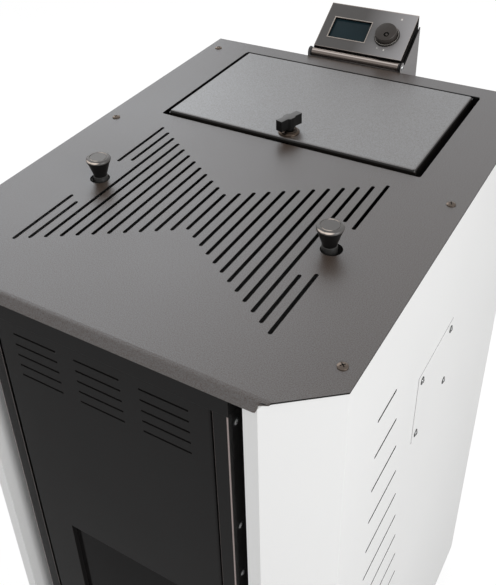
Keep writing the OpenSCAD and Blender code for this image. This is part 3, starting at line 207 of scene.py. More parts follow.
def build_drawn_lines(tree, given):
    """Fine lines left by rolling or brushing, stretched along one axis."""
    mapping = add(tree, "ShaderNodeMapping", {"Vector": object_place(tree), "Scale": given["Stretch"]})
    fine = noise(tree, mapping.outputs[0], scale=1.0, detail=3.0, rough=0.6)
    return [fine, spread(tree, fine, 0.88, 1.12)]


def build_spangle(tree, given):
    """Frost-like crystals of a hot zinc coat, each with its own tone."""
    place = object_place(tree)
    warp = add(tree, "ShaderNodeTexNoise", {"Vector": place, "Scale": 90.0, "Detail": 2.0}).outputs["Color"]
    shift = vector_node(tree, "MULTIPLY", warp, Vector((6, 6, 6)) * MM)[0]
    bent = vector_node(tree, "ADD", place, shift)[0]
    cells = add(tree, "ShaderNodeTexVoronoi", {"Vector": bent, "Scale": given["Scale"]})
    tone = add(tree, "ShaderNodeSeparateColor", {0: cells.outputs["Color"]}).outputs[0]
    return [tone, cells.outputs["Distance"]]


def build_cast_skin(tree, given):
    """Sand-cast surface: coarse swells with fine pits."""
    place = object_place(tree)
    swell = noise(tree, place, given["Scale"], detail=4.0)
    pits = noise(tree, place, scale=900.0, detail=3.0, rough=0.7)
    height = math_node(tree, "ADD", swell, math_node(tree, "MULTIPLY", pits, 0.4))
    return [height, spread(tree, swell, 0.75, 1.25)]


def build_braid(tree, given):
    """Crossing strands of a braided glass-fibre rope."""
    place = object_place(tree)
    waves = []
    for lean in (1, -1):
        leaning = {"Vector": place, "Rotation": (0.0, lean * math.pi / 4, 0.0)}
        turned_place = add(tree, "ShaderNodeMapping", leaning).outputs[0]
        strands = {"Vector": turned_place, "Scale": given["Scale"], "Distortion": 1.0}
        waves.append(add(tree, "ShaderNodeTexWave", strands).outputs["Fac"])
    height = math_node(tree, "MAXIMUM", *waves)
    return [height, spread(tree, height, 0.55, 1.1)]


FLOAT, COLOUR, VECTOR = "NodeSocketFloat", "NodeSocketColor", "NodeSocketVector"
HEIGHT_AND_TONE = [("Height", FLOAT), ("Tone", FLOAT)]
POWDER_SKIN = shader_group(
    "powder_skin",
    [("Color", COLOUR, (0.5, 0.5, 0.5, 1)), ("Roughness", FLOAT, 0.5), ("Speck Scale", FLOAT, 2500.0),
     ("Speck Tone", FLOAT, 0.1), ("Cloud Tone", FLOAT, 0.05), ("Rough Spread", FLOAT, 0.1)],
    [("Color", COLOUR), ("Roughness", FLOAT), ("Height", FLOAT)],
    build_powder_skin,
)
EDGE_WEAR_AND_HIGHLIGHT = shader_group(
    "edge_wear_and_highlight_mask", [("Radius", FLOAT, 0.001), ("Amount", FLOAT, 0.5)], [("Mask", FLOAT)], build_edge_wear_and_highlight,
)
PAINTED_HIGHLIGHT = shader_group(
    "painted_highlight_mask", [("Facing", VECTOR, (0.42, 0.91, 0)), ("Start", FLOAT, 0.972), ("Amount", FLOAT, 0.5)],
    [("Mask", FLOAT)], build_painted_highlight,
)
DRAWN_LINES = shader_group(
    "drawn_lines", [("Stretch", VECTOR, (1, 1, 1))], HEIGHT_AND_TONE, build_drawn_lines,
)
SPANGLE = shader_group(
    "spangle", [("Scale", FLOAT, 60.0)], [("Tone", FLOAT), ("Height", FLOAT)], build_spangle,
)
CAST_SKIN = shader_group("cast_skin", [("Scale", FLOAT, 90.0)], HEIGHT_AND_TONE, build_cast_skin)
BRAID = shader_group("braid", [("Scale", FLOAT, 60.0)], HEIGHT_AND_TONE, build_braid)


def finish_material(name, **shader):
    """A material with a bare Principled shader, its constant inputs set on it."""
    material = bpy.data.materials.new(name)
    tree = bare_tree(material)
    surface = add(tree, "ShaderNodeBsdfPrincipled", {key.replace("_", " "): shader[key] for key in shader})
    add(tree, "ShaderNodeOutputMaterial", {"Surface": surface.outputs[0]})
    return material, tree, surface


def dress_surface(tree, surface, tint, rough, height=None, relief=0.0):
    """Feeds a surface with its colour, roughness and the height of its relief, in millimetres."""
    tree.links.new(tint, surface.inputs["Base Color"])
    tree.links.new(rough, surface.inputs["Roughness"])
    if height:
        bump = add(tree, "ShaderNodeBump", {"Height": height, "Distance": relief * MM, "Strength": 1.0})
        tree.links.new(bump.outputs[0], surface.inputs["Normal"])


def coated(name, colour, rough, relief, specks=1800, speck_tone=0.12, cloud_tone=0.08, rub=None, flakes=0.0,
           **shader):
    """A painted or moulded finish; its edge argument is (edge colour, amount, radius in millimetres) for lighter
    edges, partly wear and partly a painted highlight.
    """
    material, tree, surface = finish_material(name, **shader)
    skin = placed_group(tree, POWDER_SKIN, {
        "Color": opaque(colour), "Roughness": rough, "Speck Scale": specks, "Speck Tone": speck_tone,
        "Cloud Tone": cloud_tone, "Rough Spread": 0.12,
    })
    tint = skin["Color"]
    if rub:
        edge_colour, amount, radius = rub
        mask = placed_group(tree, EDGE_WEAR_AND_HIGHLIGHT, {"Radius": radius * MM, "Amount": amount})["Mask"]
        tint = laid_over(tree, mask, tint, edge_colour)
    if flakes:
        lowest_flake = 0.38
        above = math_node(tree, "SUBTRACT", skin["Height"], lowest_flake)
        tree.links.new(math_node(tree, "MULTIPLY", above, flakes, clamp=True), surface.inputs["Metallic"])
    dress_surface(tree, surface, tint, skin["Roughness"], skin["Height"], relief)
    return material


def drawn_metal(name, colour, rough, stretch, relief):
    """Bare or plated metal with the lines of its rolling or turning."""
    material, tree, surface = finish_material(name, Metallic=1.0)
    lines = placed_group(tree, DRAWN_LINES, {"Stretch": stretch})
    rough = spread(tree, lines["Height"], rough - 0.08, rough + 0.08)
    dress_surface(tree, surface, shaded(tree, colour, lines["Tone"]), rough, lines["Height"], relief)
    return material


def cast_metal(name, colour, rough, scale, relief, metallic):
    material, tree, surface = finish_material(name, Metallic=metallic)
    skin = placed_group(tree, CAST_SKIN, {"Scale": scale})
    rough = spread(tree, skin["Height"], rough - 0.08, rough + 0.1)
    dress_surface(tree, surface, shaded(tree, colour, skin["Tone"]), rough, skin["Height"], relief)
    return material


def clouded_pane(name, colour, scale, detail, tones, roughs, **shader):
    """Smoky glass whose tone and gloss drift slowly."""
    material, tree, surface = finish_material(name, **shader)
    cloud = noise(tree, object_place(tree), scale, detail)
    tint = shaded(tree, colour, spread(tree, cloud, *tones))
    dress_surface(tree, surface, tint, spread(tree, cloud, *roughs))
    return material


def galvanised_sheet():
    material, tree, surface = finish_material("galvanised_sheet", Metallic=1.0)
    cells = placed_group(tree, SPANGLE, {"Scale": 70.0})
    tint = shaded(tree, (0.60, 0.61, 0.62), spread(tree, cells["Tone"], 0.90, 1.06))
    rough = spread(tree, cells["Tone"], 0.36, 0.48)
    dress_surface(tree, surface, tint, rough, cells["Height"], relief=0.08)
    return material


def glass_fibre_rope():
    material, tree, surface = finish_material("glass_fibre_rope", Sheen_Weight=0.4)
    strands = placed_group(tree, BRAID, {"Scale": 90.0})
    tint = shaded(tree, (0.27, 0.26, 0.24), strands["Tone"])
    rough = spread(tree, strands["Height"], 0.95, 0.7)
    dress_surface(tree, surface, tint, rough, strands["Height"], relief=0.6)
    return material


def node_of(material, kind):
    """The first node of a kind in a material."""
    return next(node for node in material.node_tree.nodes if node.type == kind)


def with_painted_highlight(material, facing, amount, bright, start=0.972):
    """The finish with a painted highlight on the strip where a round faces one way; a lower start makes it wider.
    """
    tree = material.node_tree
    base = node_of(material, "BSDF_PRINCIPLED").inputs["Base Color"]
    mask = placed_group(tree, PAINTED_HIGHLIGHT, {"Facing": facing, "Start": start, "Amount": amount})["Mask"]
    tree.links.new(laid_over(tree, mask, base.links[0].from_socket, bright), base)
    return material


def console_face(material):
    """The console's coat: a painted sheen that makes it paler towards its right end, brushed, with lighter edges
    that are partly wear and partly painted highlight.
    """
    tree = material.node_tree
    base = node_of(material, "BSDF_PRINCIPLED").inputs["Base Color"]
    across = add(tree, "ShaderNodeSeparateXYZ", {0: object_place(tree)}).outputs["X"]
    ends = {"Value": across, "From Min": FACE_SHEEN_START_X, "From Max": FACE_SHEEN_END_X, "To Min": 0.0, "To Max": 1.0}
    painted_sheen = add(tree, "ShaderNodeMapRange", ends).outputs["Result"]
    tint = laid_over(tree, painted_sheen, base.links[0].from_socket, (0.36, 0.345, 0.35))
    edge_mask = placed_group(tree, EDGE_WEAR_AND_HIGHLIGHT, {"Radius": 2.2 * MM, "Amount": 0.95})["Mask"]
    tree.links.new(laid_over(tree, edge_mask, tint, (0.60, 0.47, 0.39)), base)
    lines = placed_group(tree, DRAWN_LINES, {"Stretch": (14.0, 1500.0, 1500.0)})
    height = node_of(material, "BUMP").inputs["Height"]
    tree.links.new(math_node(tree, "ADD", height.links[0].from_socket, lines["Height"]), height)
    return material


# Painted and moulded finishes: specks in each metre, relief in millimetres; lighter edge colours are partly wear
# and partly painted highlight
COATS = {
    "white_powder_coat": dict(
        colour=(0.86, 0.86, 0.855), rough=0.38, specks=1500, speck_tone=0.012, cloud_tone=0.015, relief=0.03,
        rub=((0.95, 0.95, 0.94), 0.5, 0.8)),
    "anthracite_powder_coat": dict(
        colour=(0.074, 0.048, 0.032), rough=0.36, specks=900, speck_tone=0.5, cloud_tone=0.10, relief=0.10,
        rub=((0.20, 0.165, 0.14), 0.5, 0.9), flakes=1.6, IOR=2.5, Specular_Tint=(0.83, 0.92, 1, 1)),
    "lid_powder_coat": dict(
        colour=(0.080, 0.053, 0.037), rough=0.37, specks=900, speck_tone=0.4, cloud_tone=0.10, relief=0.07,
        rub=((0.20, 0.165, 0.14), 0.5, 0.9), flakes=1.2, IOR=3.6, Specular_Tint=(0.87, 0.93, 0.98, 1)),
    # Painted shade: a near-black copy of the lid's coat for its steep sides
    "lid_edge_painted_shade": dict(
        colour=(0.010, 0.0085, 0.0075), rough=0.30, specks=1300, speck_tone=0.3, cloud_tone=0.2, relief=0.03,
        IOR=1.5),
    "console_powder_coat": dict(
        colour=(0.046, 0.036, 0.030), rough=0.34, specks=1500, speck_tone=0.4, relief=0.06, IOR=2.0,
        Specular_Tint=(0.93, 0.97, 1, 1)),
    # Painted shade: the console housing's sides, almost black and with hardly any reflection
    "console_side_painted_shade": dict(
        colour=(0.011, 0.010, 0.0095), rough=0.6, specks=1500, speck_tone=0.3, cloud_tone=0.2, relief=0.03,
        Specular_IOR_Level=0.04),
    # Painted light: a paler copy of the anthracite coat, for how its cheek catches the light
    "bracket_coat_painted_light": dict(
        colour=(0.225, 0.215, 0.215), rough=0.40, specks=1100, speck_tone=0.2, relief=0.08,
        rub=((0.34, 0.31, 0.29), 0.4, 0.9), IOR=2.0),
    "black_stove_paint": dict(
        colour=(0.0098, 0.009, 0.009), rough=0.44, specks=1300, speck_tone=0.35, cloud_tone=0.25, relief=0.05,
        rub=((0.10, 0.08, 0.07), 0.4, 0.7), IOR=1.38),
    "shadowed_cut_edge": dict(
        colour=(0.010, 0.0095, 0.009), rough=0.6, speck_tone=0.3, cloud_tone=0.2, relief=0.03, IOR=1.3),
    "black_handle_coat": dict(
        colour=(0.014, 0.014, 0.014), rough=0.36, specks=2400, speck_tone=0.4, cloud_tone=0.1, relief=0.05,
        rub=((0.12, 0.11, 0.10), 0.5, 1.0)),
    "boiler_primer": dict(
        colour=(0.020, 0.019, 0.018), rough=0.7, specks=700, speck_tone=0.3, cloud_tone=0.5, relief=0.1),
    "red_enamel": dict(
        colour=(0.33, 0.018, 0.014), rough=0.28, specks=900, speck_tone=0.08, cloud_tone=0.1, relief=0.06,
        Coat_Weight=0.4, Coat_Roughness=0.12),
    "grey_powder_coat": dict(
        colour=(0.16, 0.165, 0.17), rough=0.5, specks=1500, speck_tone=0.15, relief=0.06),
    "black_thermoset": dict(colour=(0.0065, 0.006, 0.006), rough=0.36, relief=0.02, Specular_IOR_Level=0.22),
    "wing_thermoset": dict(
        colour=(0.0065, 0.0062, 0.006), rough=0.36, relief=0.02, IOR=1.38, Specular_IOR_Level=0.28),
    # Painted light: the wing's top faces, much paler than its sides though of one material
    "wing_top_painted_light": dict(colour=(0.060, 0.060, 0.060), rough=0.42, relief=0.03, IOR=1.8),
    # Painted light: the knobs' tops paler than their black bodies, with a painted highlight on the rim
    "knob_top_painted_light": dict(
        colour=(0.085, 0.080, 0.077), rough=0.34, relief=0.03, rub=((0.34, 0.31, 0.29), 0.5, 1.4), IOR=1.6),
    "knob_collar": dict(colour=(0.030, 0.029, 0.028), rough=0.34, relief=0.02),
    # Painted highlights: the pale edges of the dial's cup and of the dial
    "dial_cup_gloss": dict(
        colour=(0.012, 0.011, 0.010), rough=0.22, relief=0.01, rub=((0.80, 0.74, 0.68), 0.95, 1.4)),
    "satin_dial": dict(
        colour=(0.040, 0.033, 0.029), rough=0.40, relief=0.03, rub=((0.24, 0.20, 0.17), 0.6, 1.2)),
    "light_lens": dict(colour=(0.80, 0.79, 0.74), rough=0.25, relief=0.01, Subsurface_Weight=0.1),
    "foam_rubber": dict(colour=(0.022, 0.022, 0.023), rough=0.82, specks=1100, relief=0.25),
    "painted_shade_line_grey": dict(colour=(0.42, 0.42, 0.42), rough=0.7, relief=0.03),
    "black_nylon": dict(colour=(0.02, 0.02, 0.021), rough=0.48, relief=0.05),
    "red_rocker": dict(colour=(0.42, 0.022, 0.016), rough=0.24, relief=0.02),
}
METALS = {
    "zinc_plate": dict(colour=(0.70, 0.71, 0.71), rough=0.22, stretch=(240, 240, 1400), relief=0.02),
    "bronze_screw": dict(colour=(0.19, 0.155, 0.13), rough=0.30, stretch=(500, 500, 500), relief=0.01),
    "dark_bronze_lacquer": dict(colour=(0.10, 0.076, 0.06), rough=0.3, stretch=(500, 500, 500), relief=0.03),
    "bar_lacquer": dict(colour=(0.30, 0.255, 0.23), rough=0.22, stretch=(9, 900, 900), relief=0.01),
    "display_bezel_coat": dict(colour=(0.60, 0.54, 0.49), rough=0.45, stretch=(30, 1200, 1200), relief=0.02),
    "mild_steel": dict(colour=(0.36, 0.355, 0.35), rough=0.38, stretch=(300, 300, 300), relief=0.04),
    "flue_steel": dict(colour=(0.50, 0.50, 0.50), rough=0.26, stretch=(1300, 30, 1300), relief=0.03),
    "brass_fitting": dict(colour=(0.60, 0.42, 0.17), rough=0.26, stretch=(700, 60, 700), relief=0.03),
}
FINISHES = {name: coated(name, **values) for name, values in COATS.items()}
FINISHES.update({name: drawn_metal(name, **values) for name, values in METALS.items()})
FINISHES.update({
    "galvanised_sheet": galvanised_sheet(),
    "glass_fibre_rope": glass_fibre_rope(),
    "cast_iron": cast_metal(
        "cast_iron", colour=(0.045, 0.043, 0.041), rough=0.62, scale=120.0, relief=0.6, metallic=0.5),
    "die_cast_housing": cast_metal(
        "die_cast_housing", colour=(0.34, 0.35, 0.36), rough=0.42, scale=260.0, relief=0.1, metallic=0.8),
    "ceramic_stove_glass": clouded_pane(
        "ceramic_stove_glass", colour=(0.007, 0.0065, 0.0065), scale=9.0, detail=3.0, tones=(0.6, 1.4),
        roughs=(0.06, 0.16), IOR=1.42, Specular_IOR_Level=0.08),
    "display_pane": clouded_pane(
        "display_pane", colour=(0.011, 0.024, 0.030), scale=26.0, detail=2.0, tones=(0.7, 1.3),
        roughs=(0.12, 0.22), IOR=1.45, Specular_IOR_Level=0.25),
    # Painted highlight: a pale strip down the front frame's rounded edges
    "stove_paint_with_painted_highlight": with_painted_highlight(
        coated("stove_paint_with_painted_highlight", **COATS["black_stove_paint"]),
        facing=(0.42, 0.907, 0), amount=0.9, bright=(0.50, 0.41, 0.39)),
})
# Painted highlights: a strip along the top of the tilt bar and an arc on the front of the knobs' rims
with_painted_highlight(FINISHES["bar_lacquer"], facing=(0, 0.58, 0.81), amount=0.95, bright=(0.98, 0.88, 0.82))
with_painted_highlight(FINISHES["knob_top_painted_light"], facing=(0.22, 0.8, 0.56), amount=0.95, bright=(0.95, 0.82, 0.72), start=0.9)
console_face(FINISHES["console_powder_coat"])

FINISH_OF_SLOT = {
    "white_paint": "white_powder_coat",
    "anthracite_paint": "anthracite_powder_coat",
    "black_paint": "black_stove_paint",
    "galvanised": "galvanised_sheet",
    "zinc": "zinc_plate",
    "bronze_screws": "bronze_screw",
    "lock_ring": "dark_bronze_lacquer",
    "bar": "bar_lacquer",
    "black_knob": "black_thermoset",
    "black_handle": "black_handle_coat",
    "stove_glass": "ceramic_stove_glass",
    "lcd": "display_pane",
    "led": "light_lens",
    "seal_rope": "glass_fibre_rope",
    "seal_rubber": "foam_rubber",
    "iron": "cast_iron",
    "boiler_steel": "boiler_primer",
    "tube_steel": "mild_steel",
    "motor": "die_cast_housing",
    "pipes": "brass_fitting",
    "red_paint": "red_enamel",
    "grey_case": "grey_powder_coat",
    "socket": "black_nylon",
    "switch_red": "red_rocker",
}
FINISH_OF_NODE = {
    "dial_knob": "satin_dial",
    "dial_base": "dial_cup_gloss",
    "lid_lock_knob": "wing_thermoset",
    "console_bracket": "bracket_coat_painted_light",
    "hopper_lid": "lid_powder_coat",
    "front_frame": "stove_paint_with_painted_highlight",
    "display_housing": "console_powder_coat",
    "flue_outlet": "flue_steel",
    "air_intake": "flue_steel",
}


# Mesh building
def finish_of(node):
    return FINISHES[FINISH_OF_NODE.get(node, FINISH_OF_SLOT[SLOT_OF[node]])]


def middle(node):
    low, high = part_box(node)
    return (low + high) / 2


def plate_top():
    """The height of the top plate's upper face."""
    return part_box("top_plate")[1].z


def placed_object(name, data):
    obj = bpy.data.objects.new(name, data)
    bpy.context.scene.collection.objects.link(obj)
    return obj


def mesh_from(name, bm):
    """A mesh with what the bmesh held; the bmesh is done with."""
    mesh = bpy.data.meshes.new(name)
    bm.to_mesh(mesh)
    bm.free()
    return mesh


def piece(name, bm, body, slot, material, stands_for=(), sharp=35):
    """Turns a bmesh into a named piece of the object, riding on its body."""
    bmesh.ops.recalc_face_normals(bm, faces=bm.faces)
    mesh = mesh_from(name, bm)
    mesh.polygons.foreach_set("use_smooth", [True] * len(mesh.polygons))
    mesh.set_sharp_from_angle(angle=math.radians(sharp))
    mesh.materials.append(material)
    obj = placed_object(name, mesh)
    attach(obj, body)
    if stands_for:
        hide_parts(*stands_for)
    return obj


def dressed(node, name, bm, sharp=35, more=()):
    """A piece that stands for one construction node; more finishes follow for faces of index 1 and up."""
    obj = piece(name, bm, BODY_OF[node], SLOT_OF[node], finish_of(node), [node], sharp)
    for finish in more:
        obj.data.materials.append(FINISHES[finish])
    return obj


def nylon_piece(name, parts, body):
    """Small black parts that stand for no node of the construction."""
    piece(name, joined(parts), body, "socket", FINISHES["black_nylon"])


def merged_copy(node):
    """A node's loose triangles, joined again into whole faces."""
    bm = bmesh.new()
    bm.from_mesh(NODES[node].data)
    nearly_flat = math.radians(0.6)
    bmesh.ops.remove_doubles(bm, verts=bm.verts, dist=SAME_PLACE)
    bmesh.ops.dissolve_limit(bm, angle_limit=nearly_flat, verts=bm.verts, edges=bm.edges)
    return bm


def round_edges(bm, edges, width, segments=3):
    """Rounds edges off; the width is in millimetres."""
    bmesh.ops.bevel(bm, geom=edges, offset=width * MM, offset_type="OFFSET", segments=segments, profile=0.5,
                    affect="EDGES", clamp_overlap=True, material=-1)


def sharp_edges(bm, angle):
    """Edges that turn by more than an angle in radians."""
    return [edge for edge in bm.edges if edge.calc_face_angle(0) > angle]


def raise_faces(bm, faces, height):
    """Extrudes faces upwards; the height is in millimetres."""
    grown = bmesh.ops.extrude_face_region(bm, geom=faces)["geom"]
    raised = [item for item in grown if isinstance(item, bmesh.types.BMVert)]
    bmesh.ops.translate(bm, verts=raised, vec=(0, 0, height * MM))


def slab(outline, low, high):
    """A flat outline raised to a slab between two heights, all in millimetres."""
    bm = bmesh.new()
    face = bm.faces.new([bm.verts.new((x * MM, y * MM, low * MM)) for x, y in outline])
    raise_faces(bm, [face], high - low)
    return bm


def broken_edges(obj, width, limit):
    """A fine bevel over a finished piece; the width is in millimetres."""
    edges = obj.modifiers.new("broken_edges", "BEVEL")
    edges.width = width * MM
    edges.segments = 2
    edges.limit_method = limit
    edges.harden_normals = True
    return edges


def softened(node, width, reshape=None, folds=None, sheet=None, edging=None):
    """The node's sheet or casting with its edges broken, the width in millimetres.

    reshape changes the bmesh first, folds is (test of a point, width) for the edges that get a wide bend,
    sheet is the axis across a flat sheet whose cut faces, as in its slots, stay crisp and dark with painted
    shade, and edging is (test of a face, finish) for faces with a finish of their own, here a painted shade.
    """
    bm = merged_copy(node)
    if reshape:
        reshape(bm)
    if folds:
        test, radius = folds
        bends = [edge for edge in bm.edges if all(test(vert.co) for vert in edge.verts)]
        round_edges(bm, bends, radius, segments=7)
    weight = bm.edges.layers.float.new("bevel_weight_edge")
    corner, crisp = math.radians(40), 0.25
    for edge in bm.edges:
        edge[weight] = 1.0 if edge.calc_face_angle(0) > corner else 0.0
    dark = [] if sheet is None else [face for face in bm.faces if is_cut_face(face, sheet)]
    dark += filter(edging[0], bm.faces) if edging else []
    for face in dark:
        face.material_index = 1
        for edge in face.edges:
            edge[weight] = min(edge[weight], crisp)
    second = edging[1] if edging else "shadowed_cut_edge"
    obj = dressed(node, node + "_finished", bm, sharp=28, more=[second] if dark else [])
    broken_edges(obj, width, "WEIGHT")
    obj.modifiers.new("even_normals", "WEIGHTED_NORMAL").keep_sharp = True


def is_cut_face(face, axis):
    """Whether a face stands square to a sheet and is no deeper than the sheet is thick."""
    depths = [vert.co[axis] for vert in face.verts]
    return abs(face.normal[axis]) < 0.3 and max(depths) - min(depths) < (SHEET + 0.1) * MM


def arc(centre, radius, start, end, steps=8):
    """Points of an arc in the profile plane, in millimetres and degrees."""
    for step in range(steps + 1):
        angle = math.radians(start + (end - start) * step / steps)
        yield (centre[0] + radius * math.cos(angle), centre[1] + radius * math.sin(angle))


def turned(profile, place=None, steps=72):
    """A lathe-turned form from a profile of (radius, height) in millimetres, about +Z."""
    bm = bmesh.new()
    verts = [bm.verts.new((r * MM, 0, h * MM)) for r, h in profile]
    edges = [bm.edges.new(pair) for pair in zip(verts, verts[1:])]
    bmesh.ops.spin(bm, geom=verts + edges, cent=(0, 0, 0), axis=(0, 0, 1), angle=TURN, steps=steps,
                   use_merge=True, use_duplicate=False)
    bmesh.ops.remove_doubles(bm, verts=bm.verts, dist=SAME_PLACE)
    bmesh.ops.transform(bm, matrix=place or Matrix.Identity(4), verts=bm.verts)
    return bm


def rod(radius, start, end, place=None, steps=24):
    """A plain round rod between two heights, in millimetres."""
    return turned([(0, start), (radius, start), (radius, end), (0, end)], place, steps)


def joined(parts):
    """One bmesh from several."""
    whole = bmesh.new()
    for part in parts:
        mesh = mesh_from("part", part)
        whole.from_mesh(mesh)
        bpy.data.meshes.remove(mesh)
    return whole


def along(axis, place, twist=0.0):
    """The matrix that stands +Z along an axis at a place."""
    lean = axis.to_track_quat("Z", "Y").to_matrix().to_4x4()
    return Matrix.Translation(place) @ lean @ Matrix.Rotation(twist, 4, "Z")


def block(size, place, bevel):
    """A block centred on its own origin, its edges rounded; sizes in millimetres."""
    bm = bmesh.new()
    bmesh.ops.create_cube(bm, size=1)
    bmesh.ops.scale(bm, vec=[side * MM for side in size], verts=bm.verts)
    round_edges(bm, bm.edges[:], bevel)
    bmesh.ops.transform(bm, matrix=place, verts=bm.verts)
    return bm


def face_place(x, up, lift=0.0):
    """A point on the console's face: sideways in metres, then millimetres up its slope and off it."""
    along_face = BAR_AXIS + FACE_UP * (FACE_START + up * MM) + FACE_NORMAL * (FACE_LEVEL + lift * MM)
    return Vector((x, along_face.y, along_face.z))


def up_slope(point):
    """How far up the console's face a point lies, in millimetres."""
    return (point - BAR_AXIS).dot(FACE_UP) / MM - FACE_START / MM


def cross_recess_screw(diameter, height, place):
    """A domed screw head with a cross recess."""
    r = diameter / 2
    bulge = 0.62 * height
    dome_r = (r * r + bulge ** 2) / (2 * bulge)
    rise = math.degrees(math.asin((r - 0.35) / dome_r))
    profile = [(0, 0), (r - 0.15, 0), (r, 0.15), (r, height * 0.30)]
    profile += list(arc((0, height - dome_r), dome_r, 90 - rise, 90, 6))
    reach, half_width, floor = diameter * 0.27, diameter * 0.05, height * 0.42
    outline = []
    for quarter in range(4):
        cos, sin = math.cos(quarter * TURN / 4), math.sin(quarter * TURN / 4)
        for x, y in ((reach, -half_width), (reach, half_width), (half_width, half_width)):
            outline.append((x * cos - y * sin, x * sin + y * cos))
    head = subtracted(turned(profile, steps=32), slab(outline, floor, floor + height))
    # Faces inside the cross recess get painted shade
    for face in head.faces:
        spot = face.calc_center_median()
        in_recess = spot.xy.length < reach * 1.05 * MM and spot.z > (floor - 0.01) * MM
        if in_recess and (face.normal.z < 0.2 or spot.z < (floor + 0.01) * MM):
            face.material_index = 1
    bmesh.ops.transform(head, matrix=place, verts=head.verts)
    return head


def subtracted(bm, cutter):
    """One closed form less another, by an exact boolean that is applied at once."""
    objects = []
    for source in (bm, cutter):
        bmesh.ops.recalc_face_normals(source, faces=source.faces)
        objects.append(placed_object("cut", mesh_from("cut", source)))
    base, tool = objects
    cut = base.modifiers.new("cut", "BOOLEAN")
    cut.operation, cut.solver, cut.object = "DIFFERENCE", "EXACT", tool
    result = bmesh.new()
    result.from_object(base, bpy.context.evaluated_depsgraph_get())
    for obj in objects:
        mesh = obj.data
        bpy.data.objects.remove(obj)
        bpy.data.meshes.remove(mesh)
    return result


# Pieces
def sheet_metal():
    """Folded sheets and castings: every edge is broken, and the top plate's lip gets its bend."""
    near, bend_width = 0.05 * MM, 5.0
    top = plate_top()
    lip_fold = min(vert.co.y for vert in NODES["top_plate"].data.vertices if abs(vert.co.z - top) < near)

    def on_lip_fold(point):
        return abs(point.z - top) < near and abs(point.y - lip_fold) < near

    # Painted shade: the top plate's cut sides behind its lip
    def on_plate_side(face):
        behind_lip = face.calc_center_median().y > lip_fold + 1 * MM
        return behind_lip and abs(face.normal.x) > 0.1 and abs(face.normal.z) < 0.3

    # Painted shade: the lid's steep faces
    def on_lid_edge(face):
        return abs(face.normal.z) < 0.8

    # Painted shade: the housing's sides and the faces turned down its slope
    def on_case_side(face):
        return abs(face.normal.x) > 0.9 or face.normal.dot(FACE_UP) < -0.9

    def lengthen_case(bm):
        rear = max(vert.co.y for vert in bm.verts) - 1.9 * MM
        ends = [vert for vert in bm.verts if vert.co.y > rear]
        bmesh.ops.translate(bm, verts=ends, vec=FACE_UP * CASE_REACH)

    softened("top_plate", 0.35, folds=(on_lip_fold, bend_width), sheet=2,
             edging=(on_plate_side, "shadowed_cut_edge"))
    softened("left_side_panel", 0.45, sheet=0)
    softened("right_side_panel", 0.45, sheet=0)
    softened("front_door", 0.45, sheet=1)
    softened("console_bracket", 0.45, sheet=0)
    softened("hopper_lid", 0.35, edging=(on_lid_edge, "lid_edge_painted_shade"))
    softened("display_housing", 0.45, reshape=lengthen_case, edging=(on_case_side, "console_side_painted_shade"))
    for node, width in {
        "service_covers": 0.45, "back_panel": 0.4, "header_panel": 0.5, "front_frame": 0.4,
        "ash_drawer": 0.4, "base_frame": 0.5, "hopper": 0.4, "control_box": 0.5, "power_inlet": 0.35,
        "boiler_body": 0.6, "door_inner_frame": 0.8, "fire_floor": 0.6, "burner_pot": 0.5,
        "fan_housing": 0.5, "gear_motor": 1.0, "fan_motor": 1.0, "feed_tube": 0.4,
        "circulation_pump": 1.2, "lid_hinges": 0.25, "latch_cam": 0.3, "lid_lock_cam": 0.3,
        "door_glass": 0.6, "fan_impeller": 0.3,
    }.items():
        softened(node, width)


def small_parts():
    """Vessel, scraper rods, pins, seal, switch and plunger, which only have their edges broken."""
    for node, width in {
        "expansion_vessel": 0.5, "left_cleaning_rod": 0.4, "right_cleaning_rod": 0.4, "door_hinge_pins": 0.4,
        "hopper_seal": 1.6, "power_switch": 0.5, "dial_plunger": 0.2,
    }.items():
        softened(node, width)


def cover_shade_lines():
    """Thin pale grey strips, a painted shade line round the service covers."""
    low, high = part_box("service_covers")
    centre = (low + high) / 2
    thickness, past_edge, behind = 0.4, 0.7, 1.3
    strips = []
    for side in (low.x, high.x):
        place = Matrix.Translation((side - math.copysign(behind * MM, side), centre.y, centre.z))
        size = (thickness, (high.y - low.y) / MM + 2 * past_edge, (high.z - low.z) / MM + 2 * past_edge)
        strips.append(block(size, place, 0.1))
    piece("cover_shade_lines", joined(strips), BODY_OF["service_covers"], "grey_case", FINISHES["painted_shade_line_grey"])


def hatch_shade_strip():
    """A thin black strip on the plate, along the hatch's rear edge: a painted shade line."""
    low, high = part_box("hopper_lid")
    past_lid, depth, thickness = 8, 2.0, 0.3
    place = Matrix.Translation(((low.x + high.x) / 2, high.y + 1.3 * MM, plate_top() + thickness / 2 * MM))
    strip = block(((high.x - low.x) / MM + 2 * past_lid, depth, thickness), place, 0.1)
    piece("hatch_rear_shade_strip", strip, BODY_OF["top_plate"], "seal_rubber", FINISHES["shadowed_cut_edge"])


def plain_nodes():
    """Nodes whose construction mesh is kept: they only get their finish."""
    for node, obj in NODES.items():
        if not obj.hide_render:
            obj.data.materials.clear()
            obj.data.materials.append(finish_of(node))


